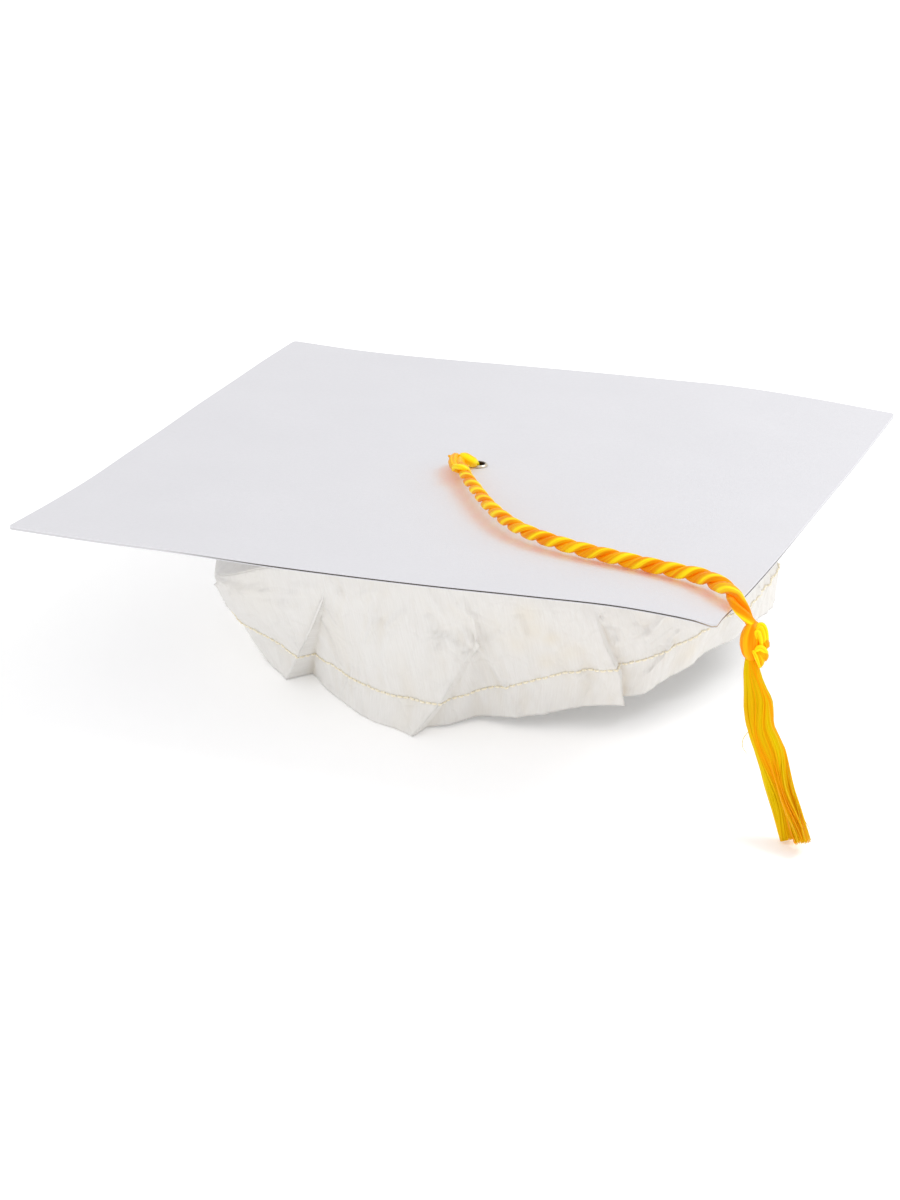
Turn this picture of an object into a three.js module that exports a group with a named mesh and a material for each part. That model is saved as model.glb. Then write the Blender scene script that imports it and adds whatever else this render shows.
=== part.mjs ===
// Graduation cap: a square card board, a gathered cloth skullcap under it, and a
// twisted cord that runs from an eyelet at the board's centre to a small tassel.
// Millimetres, +Z up, origin under the board's centre on the plane the rim stands on.
import * as THREE from "three";

// ---- driving dimensions ----
const BOARD_SIDE = 240;
const BOARD_TOP = 65; // height of the board's upper face over the rim's lowest edge
const FACING = 0.25; // paper sheet on each side of the chipboard
const CORE = 0.75;
const CORNER_ROUND = 1.5;

const CLOTH = 0.75; // wall drawn for the thin cloth
const CLEARANCE = 0.3; // gap kept between neighbouring curved pieces
const PANEL_FLAT = 52; // radius of the crown panel that lies against the board
const SHOULDER_RADIUS = 98;
const SHOULDER_HEIGHT = BOARD_TOP - 17.75; // underside of the crown panel at the shoulder seam
const RIM_RADIUS = 84.6;
const HEM = 12; // depth of the turned-up hem
const CASING = 1.6; // room inside the hem for the elastic
const SEAM_ALLOWANCE = 6;

// The soft crown hangs off centre and its rim is an oval that the elastic draws up on one
// side. Its shoulder sags on the other side, and is pushed up to the board in front.
// Angles are in degrees round +Z from +X.
const SHOULDER_SHIFT = new THREE.Vector2(6, 3);
const RIM_SHIFT = new THREE.Vector2(7.3, 6.1);
const RIM_STRETCH = 0.055; // the rim's oval is longer along X by this share
const RIM_RAISE = { height: 22, angle: 4, before: 100, after: 78 };
const SHOULDER_SAG = { height: 20, angle: 200, before: 62, after: 62 };
const SHOULDER_LIFT = { height: 9.5, angle: -98, before: 65, after: 80 };

const BACK = THREE.MathUtils.degToRad(45); // the back seam and the elastic's middle
const ELASTIC_WIDTH = 8;
const ELASTIC_THICKNESS = 0.8;
const THREAD_RADIUS = 0.35;

const BORE_RADIUS = 2.1;
const BARREL_RADIUS = 2.45;
const EYELET_HOLE_RADIUS = 2.7;
const FLANGE_RADIUS = 3.4;
const FLANGE_HEIGHT = 0.9;
const FLANGE_ROUND = 0.35;
const FLARE_RADIUS = 3.4;
const FLARE_THICKNESS = 0.5;
const WASHER_RADIUS = 5.5;
const WASHER_THICKNESS = 0.5;

const CORD_RADIUS = 2.5;
const NECK_RADIUS = 1.8; // the cord is squeezed where it goes through the eyelet
const KNOT_RADIUS = 4.5;
const KNOT_SQUASH = 0.8;
const TASSEL_KNOT_RADIUS = 4.6;
const TASSEL_KNOT_LENGTH = 15;
const SKIRT_RADIUS = 4.7;
const SKIRT_NECK_RADIUS = 3.4;
const SKIRT_FULL_FROM = 0.5; // share of the skirt's length over which it widens
const SKIRT_END_HEIGHT = 0.6;

const ROUND_SEGMENTS = 64; // round the crown
const ELASTIC_SEGMENTS = 24; // as many of them as the elastic spans
const SMALL_SEGMENTS = 20; // round the eyelet and its holes

// ---- levels that follow from them ----
const BOARD_BOTTOM = BOARD_TOP - 2 * FACING - CORE;
const PANEL_BOTTOM = BOARD_BOTTOM - CLOTH;
const WASHER_BOTTOM = PANEL_BOTTOM - WASHER_THICKNESS;
const FLARE_BOTTOM = WASHER_BOTTOM - FLARE_THICKNESS;
const PANEL_SLOPE = (PANEL_BOTTOM - SHOULDER_HEIGHT) / (SHOULDER_RADIUS - PANEL_FLAT);

// The cord's route over the board and the tassel's hang, as heights over the board's top.
const BOARD_ROUTE = [
  [-0.8, -13.1, 3.4], [1.6, -18, 3.1], [4.8, -23.6, 3], [9.2, -30.2, 3], [14.4, -38, 3],
  [20.6, -47, 3], [28, -56, 3], [37, -64.8, 3], [47.5, -71.4, 3], [60, -76.6, 3],
  [72, -79.9, 3], [85, -83, 3], [97.5, -86.2, 3.3], [106.6, -89.1, 3.6],
  [113.2, -93.7, 3.8], [117.6, -97.9, 3.7], [121.2, -102.6, 3],
];
const SWING_POINT = [122.8, -104.9, 2.2];
const KNOT_TOP = [127.9, -106.6, -3.4];
const KNOT_BOTTOM = [131.2, -110.6, -17.4];
const SKIRT_LINE = [
  [131.4, -110.8, -18], [133, -113, -25], [136.8, -116.7, -37], [141, -119.9, -48],
  [145.2, -122.6, -57.5], [148.8, -125.3, SKIRT_END_HEIGHT - BOARD_TOP],
];

const atBoard = ([x, y, height]) => new THREE.Vector3(x, y, BOARD_TOP + height);
const clamp01 = (value) => Math.min(Math.max(value, 0), 1);

// ---- finishes ----
const finish = (color, roughness, metalness = 0) =>
  new THREE.MeshStandardMaterial({ color, roughness, metalness });
const whitePaper = finish(0xe8e8ee, 0.75);
const greyBoard = finish(0x77726b, 0.95);
const brass = finish(0xc9b27a, 0.35, 0.9);
const crownCloth = finish(0xf1eee6, 0.95);
const seamThread = finish(0xefe6c8, 0.8);
const elasticWeb = finish(0xf6f5f0, 0.85);
const satinCord = finish(0xffb914, 0.45);

// ---- shape helpers ----
function piece(name, geometry, material) {
  const mesh = new THREE.Mesh(geometry, material);
  mesh.name = name;
  return mesh;
}

// Moves every vertex of a geometry by a function that edits the vertex in place.
function reshape(geometry, edit) {
  const positions = geometry.getAttribute("position");
  const vertex = new THREE.Vector3();
  for (let i = 0; i < positions.count; i++) {
    vertex.fromBufferAttribute(positions, i);
    edit(vertex);
    positions.setXYZ(i, vertex.x, vertex.y, vertex.z);
  }
  return geometry;
}

// A ring turned round +Z from an outline of [radius, height] points, anticlockwise.
function turned(outline, segments) {
  const points = [...outline, outline[0]].map(([r, z]) => new THREE.Vector2(r, z));
  return new THREE.LatheGeometry(points, segments).rotateX(Math.PI / 2);
}

// A smooth rise round the crown: its full height at one angle, nothing past its spans.
function riseAt(rise, direction) {
  const turn = THREE.MathUtils.euclideanModulo(direction - rise.angle + 180, 360) - 180;
  const span = turn < 0 ? rise.before : rise.after;
  const share = Math.cos(clamp01(Math.abs(turn) / span) * (Math.PI / 2)) ** 2;
  return rise.height * share;
}

// Carries a straight, centred crown piece to its off-centre, drawn-up shape.
function hangCrown(vertex) {
  const radius = Math.hypot(vertex.x, vertex.y);
  const direction = THREE.MathUtils.radToDeg(Math.atan2(vertex.y, vertex.x));
  const outward = clamp01((radius - PANEL_FLAT) / (SHOULDER_RADIUS - PANEL_FLAT));
  const below = clamp01((SHOULDER_HEIGHT - vertex.z) / (SHOULDER_HEIGHT - HEM));
  vertex.z += riseAt(RIM_RAISE, direction) * below;
  const lift = riseAt(SHOULDER_LIFT, direction) - riseAt(SHOULDER_SAG, direction);
  vertex.z += lift * outward * (1 - below);
  vertex.x += SHOULDER_SHIFT.x * outward + (RIM_SHIFT.x + RIM_STRETCH * vertex.x) * below;
  vertex.y += SHOULDER_SHIFT.y * outward + RIM_SHIFT.y * below;
}

// Outer and inner faces of the crown's side wall at a height over the rim.
const wallOuter = (z) =>
  RIM_RADIUS + ((SHOULDER_RADIUS - RIM_RADIUS) * z) / (SHOULDER_HEIGHT - CLEARANCE);
const wallInner = (z) => wallOuter(z) - CLOTH;
const panelUnderside = (r) => PANEL_BOTTOM - PANEL_SLOPE * (r - PANEL_FLAT);

function tube(points, radius, steps, sides) {
  const section = new THREE.Shape();
  for (let i = 0; i < sides; i++) {
    const angle = (2 * Math.PI * i) / sides;
    section[i ? "lineTo" : "moveTo"](radius * Math.cos(angle), radius * Math.sin(angle));
  }
  const path = new THREE.CatmullRomCurve3(points);
  return new THREE.ExtrudeGeometry(section, { steps, extrudePath: path });
}

// A solid of revolution whose axis runs from one point to another.
function spun(outline, from, to, segments) {
  const points = outline.map(([r, along]) => new THREE.Vector2(r, along));
  const axis = to.clone().sub(from).normalize();
  const upright = new THREE.Vector3(0, 1, 0);
  return new THREE.LatheGeometry(points, segments)
    .applyQuaternion(new THREE.Quaternion().setFromUnitVectors(upright, axis))
    .translate(from.x, from.y, from.z);
}

// ---- board ----
function boardSheet(name, bottom, thickness, material) {
  const half = BOARD_SIDE / 2;
  const inner = half - CORNER_ROUND;
  const outline = new THREE.Shape();
  [0, 1, 2, 3].forEach((corner) => {
    const turn = (corner * Math.PI) / 2;
    const centre = new THREE.Vector2(inner, inner).rotateAround(new THREE.Vector2(), turn);
    outline.absarc(centre.x, centre.y, CORNER_ROUND, turn, turn + Math.PI / 2);
  });
  const hole = new THREE.Path();
  hole.absarc(0, 0, EYELET_HOLE_RADIUS, 0, 2 * Math.PI);
  outline.holes.push(hole);
  const options = { depth: thickness, bevelEnabled: false, curveSegments: SMALL_SEGMENTS };
  const sheet = new THREE.ExtrudeGeometry(outline, options).translate(0, 0, bottom);
  return piece(name, sheet, material);
}

function board() {
  const group = new THREE.Group();
  group.add(
    boardSheet("board_bottom_paper", BOARD_BOTTOM, FACING, whitePaper),
    boardSheet("board_core", BOARD_BOTTOM + FACING, CORE, greyBoard),
    boardSheet("board_top_paper", BOARD_BOTTOM + FACING + CORE, FACING, whitePaper),
  );
  return group;
}

// ---- eyelet that clinches the board to the crown panel ----
function eyelet() {
  const rollTop = BOARD_TOP + FLANGE_HEIGHT;
  const rollSide = rollTop - FLANGE_ROUND;
  const shank = [
    [BORE_RADIUS, FLARE_BOTTOM], [FLARE_RADIUS, FLARE_BOTTOM], [FLARE_RADIUS, WASHER_BOTTOM],
    [BARREL_RADIUS, WASHER_BOTTOM], [BARREL_RADIUS, BOARD_TOP], [FLANGE_RADIUS, BOARD_TOP],
    [FLANGE_RADIUS, rollSide], [FLANGE_RADIUS - FLANGE_ROUND, rollTop],
    [BORE_RADIUS + FLANGE_ROUND, rollTop], [BORE_RADIUS, rollSide],
  ];
  const ring = [
    [EYELET_HOLE_RADIUS, WASHER_BOTTOM], [WASHER_RADIUS, WASHER_BOTTOM],
    [WASHER_RADIUS, PANEL_BOTTOM], [EYELET_HOLE_RADIUS, PANEL_BOTTOM],
  ];
  const group = new THREE.Group();
  group.add(
    piece("eyelet", turned(shank, SMALL_SEGMENTS), brass),
    piece("eyelet_washer", turned(ring, SMALL_SEGMENTS), brass),
  );
  return group;
}

// ---- cloth skullcap ----
function crownTopPanel() {
  const outline = [
    [EYELET_HOLE_RADIUS, PANEL_BOTTOM], [PANEL_FLAT, PANEL_BOTTOM],
    [SHOULDER_RADIUS, SHOULDER_HEIGHT], [SHOULDER_RADIUS, SHOULDER_HEIGHT + CLOTH],
    [PANEL_FLAT, BOARD_BOTTOM], [EYELET_HOLE_RADIUS, BOARD_BOTTOM],
  ];
  const sheet = turned(outline, ROUND_SEGMENTS);
  return piece("crown_top_panel", reshape(sheet, hangCrown), crownCloth);
}

// The side wall, with its top edge turned in under the panel and its hem turned up inside.
function crownSideBand() {
  const seamEnd = SHOULDER_RADIUS - SEAM_ALLOWANCE;
  const hemInner = (z) => wallInner(z) - CASING;
  const seamTop = (r) => panelUnderside(r) - CLEARANCE;
  const outline = [
    [hemInner(0) - CLOTH, 0], [wallOuter(0), 0], [wallOuter(HEM), HEM],
    [SHOULDER_RADIUS, seamTop(SHOULDER_RADIUS)], [seamEnd, seamTop(seamEnd)],
    [seamEnd, seamTop(seamEnd) - CLOTH],
    [SHOULDER_RADIUS - CLOTH, seamTop(SHOULDER_RADIUS - CLOTH) - CLOTH],
    [wallInner(HEM), HEM], [wallInner(CLOTH), CLOTH], [hemInner(CLOTH), CLOTH],
    [hemInner(HEM), HEM], [hemInner(HEM) - CLOTH, HEM],
  ];
  const wall = turned(outline, ROUND_SEGMENTS);
  return piece("crown_side_band", reshape(wall, hangCrown), crownCloth);
}

// A flat strip in the hem's casing, drawn first as angle, thickness and height.
function elasticBand() {
  const steps = ELASTIC_SEGMENTS;
  const arc = (2 * Math.PI * steps) / ROUND_SEGMENTS;
  const strip = new THREE.BoxGeometry(arc, ELASTIC_THICKNESS, ELASTIC_WIDTH, steps, 1, 1);
  reshape(strip, (vertex) => {
    const angle = BACK - vertex.x;
    const height = (HEM + CLOTH) / 2 + vertex.z;
    const radius = wallInner(height) - CASING / 2 + vertex.y;
    vertex.set(radius * Math.cos(angle), radius * Math.sin(angle), height);
    hangCrown(vertex);
  });
  return piece("elastic_band", strip, elasticWeb);
}

function stitchRing(name, radius, height) {
  const ring = new THREE.TorusGeometry(radius, THREAD_RADIUS, 5, ROUND_SEGMENTS);
  return piece(name, reshape(ring.translate(0, 0, height), hangCrown), seamThread);
}

// The seam that closes the side wall's strip into a ring, on the inside of the wall.
function backSeamThread() {
  const low = HEM + 2;
  const high = SHOULDER_HEIGHT - 4;
  const line = new THREE.CylinderGeometry(THREAD_RADIUS, THREAD_RADIUS, high - low, 6, 3);
  line.rotateX(Math.PI / 2).translate(0, 0, (low + high) / 2);
  reshape(line, (vertex) => {
    const radius = wallInner(vertex.z) - CLEARANCE - THREAD_RADIUS + vertex.x;
    const [across, height] = [vertex.y, vertex.z];
    const [cos, sin] = [Math.cos(BACK), Math.sin(BACK)];
    vertex.set(radius * cos - across * sin, radius * sin + across * cos, height);
    hangCrown(vertex);
  });
  return piece("back_seam_thread", line, seamThread);
}

function crown() {
  const threadGap = CLEARANCE + THREAD_RADIUS;
  const seamMiddle = SHOULDER_RADIUS - SEAM_ALLOWANCE / 2;
  const seamHeight = panelUnderside(seamMiddle) - CLEARANCE - CLOTH - threadGap;
  const group = new THREE.Group();
  group.add(
    crownTopPanel(),
    crownSideBand(),
    elasticBand(),
    stitchRing("hem_thread", wallOuter(HEM) + threadGap, HEM),
    stitchRing("shoulder_seam_thread", seamMiddle, seamHeight),
    backSeamThread(),
  );
  return group;
}

// ---- cord from the eyelet to the edge ----
function roundKnot(name, centre) {
  const ball = new THREE.SphereGeometry(KNOT_RADIUS, 12, 8).rotateX(Math.PI / 2);
  ball.scale(1, 1, KNOT_SQUASH).translate(centre.x, centre.y, centre.z);
  return piece(name, ball, satinCord);
}

function cord() {
  const topKnot = new THREE.Vector3(-3, -8.6, BOARD_TOP + KNOT_RADIUS * KNOT_SQUASH + 0.4);
  const stopperTop = FLARE_BOTTOM - CLEARANCE;
  const stopper = new THREE.Vector3(0, 0, stopperTop - KNOT_RADIUS * KNOT_SQUASH);
  const neck = [
    new THREE.Vector3(0, 0, stopperTop + CLEARANCE),
    atBoard([0, 0, FLANGE_HEIGHT + 0.3]),
    atBoard([-0.5, -1.6, 3.3]),
    atBoard([-1.3, -3.8, 4.1]),
  ];
  const group = new THREE.Group();
  group.add(
    roundKnot("stopper_knot", stopper),
    piece("cord_neck", tube(neck, NECK_RADIUS, 6, 8), satinCord),
    roundKnot("top_knot", topKnot),
    piece("tassel_cord", tube(BOARD_ROUTE.map(atBoard), CORD_RADIUS, 40, 8), satinCord),
  );
  return group;
}

// ---- tassel that hangs over the edge ----
function cordDrop() {
  const from = atBoard(SWING_POINT);
  const to = atBoard(KNOT_TOP);
  const length = from.distanceTo(to) - CLEARANCE;
  const outline = [[0, -CORD_RADIUS]];
  for (const degrees of [-60, -30, 0]) {
    const angle = THREE.MathUtils.degToRad(degrees);
    outline.push([CORD_RADIUS * Math.cos(angle), CORD_RADIUS * Math.sin(angle)]);
  }
  outline.push([CORD_RADIUS, length], [0, length]);
  return piece("tassel_cord_drop", spun(outline, from, to, 12), satinCord);
}

// Two bulges with a waist between them: the knot's upper and lower loops.
function tasselKnot() {
  const steps = 12;
  const waist = { at: 0.55, width: 0.12, depth: 0.12 };
  const outline = [];
  for (let i = 0; i <= steps; i++) {
    const share = i / steps;
    const bulge = Math.sqrt(1 - (2 * share - 1) ** 4);
    const pinch = waist.depth * Math.exp(-(((share - waist.at) / waist.width) ** 2));
    outline.push([TASSEL_KNOT_RADIUS * bulge * (1 - pinch), TASSEL_KNOT_LENGTH * share]);
  }
  const knot = spun(outline, atBoard(KNOT_TOP), atBoard(KNOT_BOTTOM), 14);
  return piece("tassel_knot", knot, satinCord);
}

// The bundle of strands: narrow under the knot, and full from its upper part down.
function tasselSkirt() {
  const line = new THREE.CatmullRomCurve3(SKIRT_LINE.map(atBoard));
  const bundle = new THREE.CylinderGeometry(1, 1, 1, 14, 8).rotateX(Math.PI / 2);
  reshape(bundle, (vertex) => {
    const share = 0.5 - vertex.z;
    const centre = line.getPoint(share);
    const fullness = Math.sin((Math.PI / 2) * clamp01(share / SKIRT_FULL_FROM));
    const radius = THREE.MathUtils.lerp(SKIRT_NECK_RADIUS, SKIRT_RADIUS, fullness);
    vertex.set(centre.x + radius * vertex.x, centre.y + radius * vertex.y, centre.z);
  });
  return piece("tassel_skirt", bundle, satinCord);
}

function tassel() {
  const group = new THREE.Group();
  group.add(cordDrop(), tasselKnot(), tasselSkirt());
  return group;
}

const graduationCap = new THREE.Group();
graduationCap.add(board(), eyelet(), crown(), cord(), tassel());

export default graduationCap;
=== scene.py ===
"""The looks of a graduation cap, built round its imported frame.

Lengths are millimetres while a shape is worked out, and metres in every mesh. The frame
is the CAD model's: +Z up, origin under the board's centre on the plane the rim stands on.
"""
import math

import bpy
import numpy as np
from mathutils import Matrix, Vector, noise


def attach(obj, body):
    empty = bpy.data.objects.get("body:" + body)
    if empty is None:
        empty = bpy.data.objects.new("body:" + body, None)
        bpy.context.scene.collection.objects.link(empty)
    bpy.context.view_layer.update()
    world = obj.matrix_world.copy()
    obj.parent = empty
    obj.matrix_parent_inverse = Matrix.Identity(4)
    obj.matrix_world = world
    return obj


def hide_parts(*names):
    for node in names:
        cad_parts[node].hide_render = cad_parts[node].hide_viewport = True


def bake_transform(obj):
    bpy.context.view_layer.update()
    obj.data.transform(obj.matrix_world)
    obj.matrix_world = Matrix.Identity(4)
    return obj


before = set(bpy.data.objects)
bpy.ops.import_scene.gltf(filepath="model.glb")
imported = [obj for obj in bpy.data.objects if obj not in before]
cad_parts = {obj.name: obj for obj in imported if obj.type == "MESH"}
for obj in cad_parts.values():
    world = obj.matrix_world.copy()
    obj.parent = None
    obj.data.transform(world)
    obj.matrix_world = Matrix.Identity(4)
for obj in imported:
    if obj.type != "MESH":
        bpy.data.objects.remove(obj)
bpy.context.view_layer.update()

MM = 0.001
UP = np.array([0.0, 0.0, 1.0])

# ---- sizes shared with the CAD model, in millimetres ----
BOARD_SIDE = 240
BOARD_TOP = 65
FACING = 0.25
CORE = 0.75
BOARD_BOTTOM = BOARD_TOP - 2 * FACING - CORE
CORNER_ROUND = 1.5
PANEL_FLAT = 52
SHOULDER_RADIUS = 98
SHOULDER_HEIGHT = BOARD_TOP - 17.75
RIM_RADIUS = 84.6
HEM = 12
SHOULDER_SHIFT = (6, 3)
RIM_SHIFT = (7.3, 6.1)
RIM_STRETCH = 0.055
RIM_RAISE = {"height": 22, "angle": 4, "before": 100, "after": 78}
SHOULDER_SAG = {"height": 20, "angle": 200, "before": 62, "after": 62}
SHOULDER_LIFT = {"height": 9.5, "angle": -98, "before": 65, "after": 80}
BACK = 45
EYELET_HOLE_RADIUS = 2.7
BORE_RADIUS = 2.1
BARREL_RADIUS = 2.45
FLANGE_RADIUS = 3.4
FLANGE_HEIGHT = 0.9
WASHER_RADIUS = 5.5
WASHER_TOP = BOARD_BOTTOM - 0.75
WASHER_THICKNESS = 0.5

# The cord's route over the board and the tassel's hang, as heights over the board's top.
BOARD_ROUTE = [
    (-0.8, -13.1, 3.4), (1.6, -18, 3.1), (4.8, -23.6, 3), (9.2, -30.2, 3), (14.4, -38, 3),
    (20.6, -47, 3), (28, -56, 3), (37, -64.8, 3), (47.5, -71.4, 3), (60, -76.6, 3),
    (72, -79.9, 3), (85, -83, 3), (97.5, -86.2, 3.3), (106.6, -89.1, 3.6),
    (113.2, -93.7, 3.8), (117.6, -97.9, 3.7), (121.2, -102.6, 3),
]
SWING_POINT = (122.8, -104.9, 2.2)
KNOT_TOP = (127.9, -106.6, -3.4)
KNOT_BOTTOM = (131.2, -110.6, -17.4)
SKIRT_LINE = [
    (128.5, -109.5, -12), (129.1, -110.4, -15.2), (130.3, -111.7, -19.2), (132.6, -113.4, -25.6),
    (133.5, -114.6, -29.2), (134.5, -115.7, -32.7), (136.4, -116.5, -36.3), (138.3, -117.3, -39.8),
    (139.8, -118.3, -43.3), (142.6, -120.4, -50.4), (145.8, -122.4, -57.4), (148.7, -124.9, -63.8),
]


def at_board(points):
    """Points given by their height over the board's top, in the frame's millimetres."""
    return np.array(points, float) + (0, 0, BOARD_TOP)


# ---- camera ----
CAMERA_PLACE = (0.358, -1.010, 0.412)
CAMERA_AZIMUTH = math.radians(20.0)
CAMERA_ELEVATION = math.radians(20.33)
CAMERA_ROLL = math.radians(0.89)
CAMERA_LENS = 97.1


def make_camera():
    flat = math.cos(CAMERA_ELEVATION)
    back = Vector((
        math.sin(CAMERA_AZIMUTH) * flat,
        -math.cos(CAMERA_AZIMUTH) * flat,
        math.sin(CAMERA_ELEVATION),
    ))
    level = Vector((math.cos(CAMERA_AZIMUTH), math.sin(CAMERA_AZIMUTH), 0))
    right = level * math.cos(CAMERA_ROLL) + back.cross(level) * math.sin(CAMERA_ROLL)
    turn = Matrix((right, back.cross(right), back)).transposed()
    data = bpy.data.cameras.new("camera")
    data.lens = CAMERA_LENS
    camera = bpy.data.objects.new("camera", data)
    camera.matrix_world = Matrix.Translation(CAMERA_PLACE) @ turn.to_4x4()
    bpy.context.scene.collection.objects.link(camera)
    bpy.context.scene.camera = camera


# ---- meshes ----
def new_piece(name, vertices, faces, material):
    """A smooth mesh object from vertices in millimetres."""
    mesh = bpy.data.meshes.new(name)
    mesh.from_pydata((np.asarray(vertices) * MM).tolist(), [], faces)
    mesh.polygons.foreach_set("use_smooth", [True] * len(mesh.polygons))
    mesh.materials.append(material)
    piece = bpy.data.objects.new(name, mesh)
    bpy.context.scene.collection.objects.link(piece)
    return piece


def stand_in(piece, body, nodes):
    """Shows a piece in place of CAD nodes, on their body."""
    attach(piece, body)
    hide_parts(*nodes)
    return piece


def add_values(piece, name, values):
    """One number for each vertex, which the piece's material reads by name."""
    attribute = piece.data.attributes.new(name, "FLOAT", "POINT")
    attribute.data.foreach_set("value", np.asarray(values, np.float32).ravel())


def add_cloth_map(piece, across, along):
    """A UV map in metres of cloth: across the fibres, and along them."""
    layer = piece.data.uv_layers.new(name="cloth")
    corners = np.zeros(len(piece.data.loops), np.int32)
    piece.data.loops.foreach_get("vertex_index", corners)
    pairs = np.column_stack([np.ravel(across), np.ravel(along)])[corners] * MM
    layer.data.foreach_set("uv", pairs.astype(np.float32).ravel())


def grid_faces(rows, columns, around=False, closed=False, flip=False):
    """Quads over a grid of vertices in row order. Its columns may close round, and its
    last row may join its first."""
    faces = []
    for row in range(rows if closed else rows - 1):
        low, high = row * columns, (row + 1) % rows * columns
        for column in range(columns if around else columns - 1):
            beside = (column + 1) % columns
            quad = [low + column, low + beside, high + beside, high + column]
            faces.append(quad[::-1] if flip else quad)
    return faces


def joined(parts):
    """Several (vertices, faces) as one."""
    vertices = []
    faces = []
    count = 0
    for part_vertices, part_faces in parts:
        vertices.append(part_vertices)
        faces += [[index + count for index in face] for face in part_faces]
        count += len(part_vertices)
    return np.vstack(vertices), faces


def unit(vectors):
    vectors = np.asarray(vectors, float)
    return vectors / np.linalg.norm(vectors, axis=-1, keepdims=True)


def lengths_along(path):
    steps = np.linalg.norm(np.diff(path, axis=0), axis=1)
    return np.concatenate([[0], np.cumsum(steps)])


def catmull_rom(a, b, c, d, t):
    """A smooth curve's point between b and c, at a share t of the way."""
    bend = (2 * a - 5 * b + 4 * c - d) * t**2 + (3 * b - a - 3 * c + d) * t**3
    return b + ((c - a) * t + bend) / 2


def at_lengths(lengths, along, values):
    """Rows of values that belong to points along a path, at other lengths along it."""
    return np.column_stack([np.interp(lengths, along, column) for column in values.T])


def smooth_path(points, step):
    """Points about a step apart on a Catmull-Rom curve through the given ones."""
    p = np.asarray(points, float)
    p = np.vstack([2 * p[0] - p[1], p, 2 * p[-1] - p[-2]])
    t = np.linspace(0, 1, 24, endpoint=False)[:, None]
    spans = [catmull_rom(*four, t) for four in zip(p, p[1:], p[2:], p[3:])]
    dense = np.vstack([*spans, p[-2]])
    along = lengths_along(dense)
    even = np.linspace(0, along[-1], max(int(along[-1] / step), 2) + 1)
    return at_lengths(even, along, dense)


def carried_frames(path):
    """The path's tangents, and two cross directions carried along it without twist."""
    tangents = unit(np.gradient(path, axis=0))
    start = UP if abs(tangents[0][2]) < 0.9 else np.array([1.0, 0, 0])
    sides = [unit(np.cross(tangents[0], start))]
    for tangent in tangents[1:]:
        side = sides[-1] - tangent * np.dot(sides[-1], tangent)
        sides.append(unit(side))
    sides = np.array(sides)
    return tangents, sides, np.cross(tangents, sides)


def swept(path, across, up, widths, heights, sides, grooves=0, depth=0.0, twist=0.0):
    """A closed tube whose oval rings lie on two cross directions of a path. It has fine
    grooves, as a bundle of filaments has, that turn by twist for each step."""
    angle = np.linspace(0, 2 * math.pi, sides, endpoint=False)[None, :]
    steps = np.arange(len(path))[:, None]
    swell = 1 + depth * np.cos(grooves * (angle + twist * steps))
    w = np.broadcast_to(widths, len(path))[:, None]
    h = np.broadcast_to(heights, len(path))[:, None]
    rings = (
        path[:, None]
        + across[:, None] * (w * swell * np.cos(angle))[..., None]
        + up[:, None] * (h * swell * np.sin(angle))[..., None]
    )
    faces = grid_faces(len(path), sides, around=True)
    last = (len(path) - 1) * sides
    faces.append(list(range(sides))[::-1])
    faces.append(list(range(last, last + sides)))
    return rings.reshape(-1, 3), faces


YARN_TWIST = 0.05  # turn of the grooves for each step, in radians


def yarn(points, radius, step=0.5, sides=14, grooves=7, depth=0.04):
    """A round bundle of filaments along a smooth curve. Its radius is one number, or
    several spread evenly along it."""
    path = smooth_path(points, step)
    _, across, up = carried_frames(path)
    share = np.linspace(0, 1, len(path))
    radii = np.atleast_1d(radius)
    radii = np.interp(share, np.linspace(0, 1, len(radii)), radii)
    return swept(path, across, up, radii, radii, sides, grooves, depth, YARN_TWIST)


def turned(outline, segments):
    """A ring turned round +Z from a closed outline of (radius, height) points."""
    angle = np.linspace(0, 2 * math.pi, segments, endpoint=False)
    radius, height = np.array(outline, float).T
    rings = np.stack([
        radius[:, None] * np.cos(angle),
        radius[:, None] * np.sin(angle),
        np.repeat(height[:, None], segments, axis=1),
    ], axis=-1)
    return rings.reshape(-1, 3), grid_faces(len(outline), segments, around=True, closed=True)


def thicken(piece, thickness, offset=-1.0):
    modifier = piece.modifiers.new("thickness", "SOLIDIFY")
    modifier.thickness = thickness * MM
    modifier.offset = offset


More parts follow.
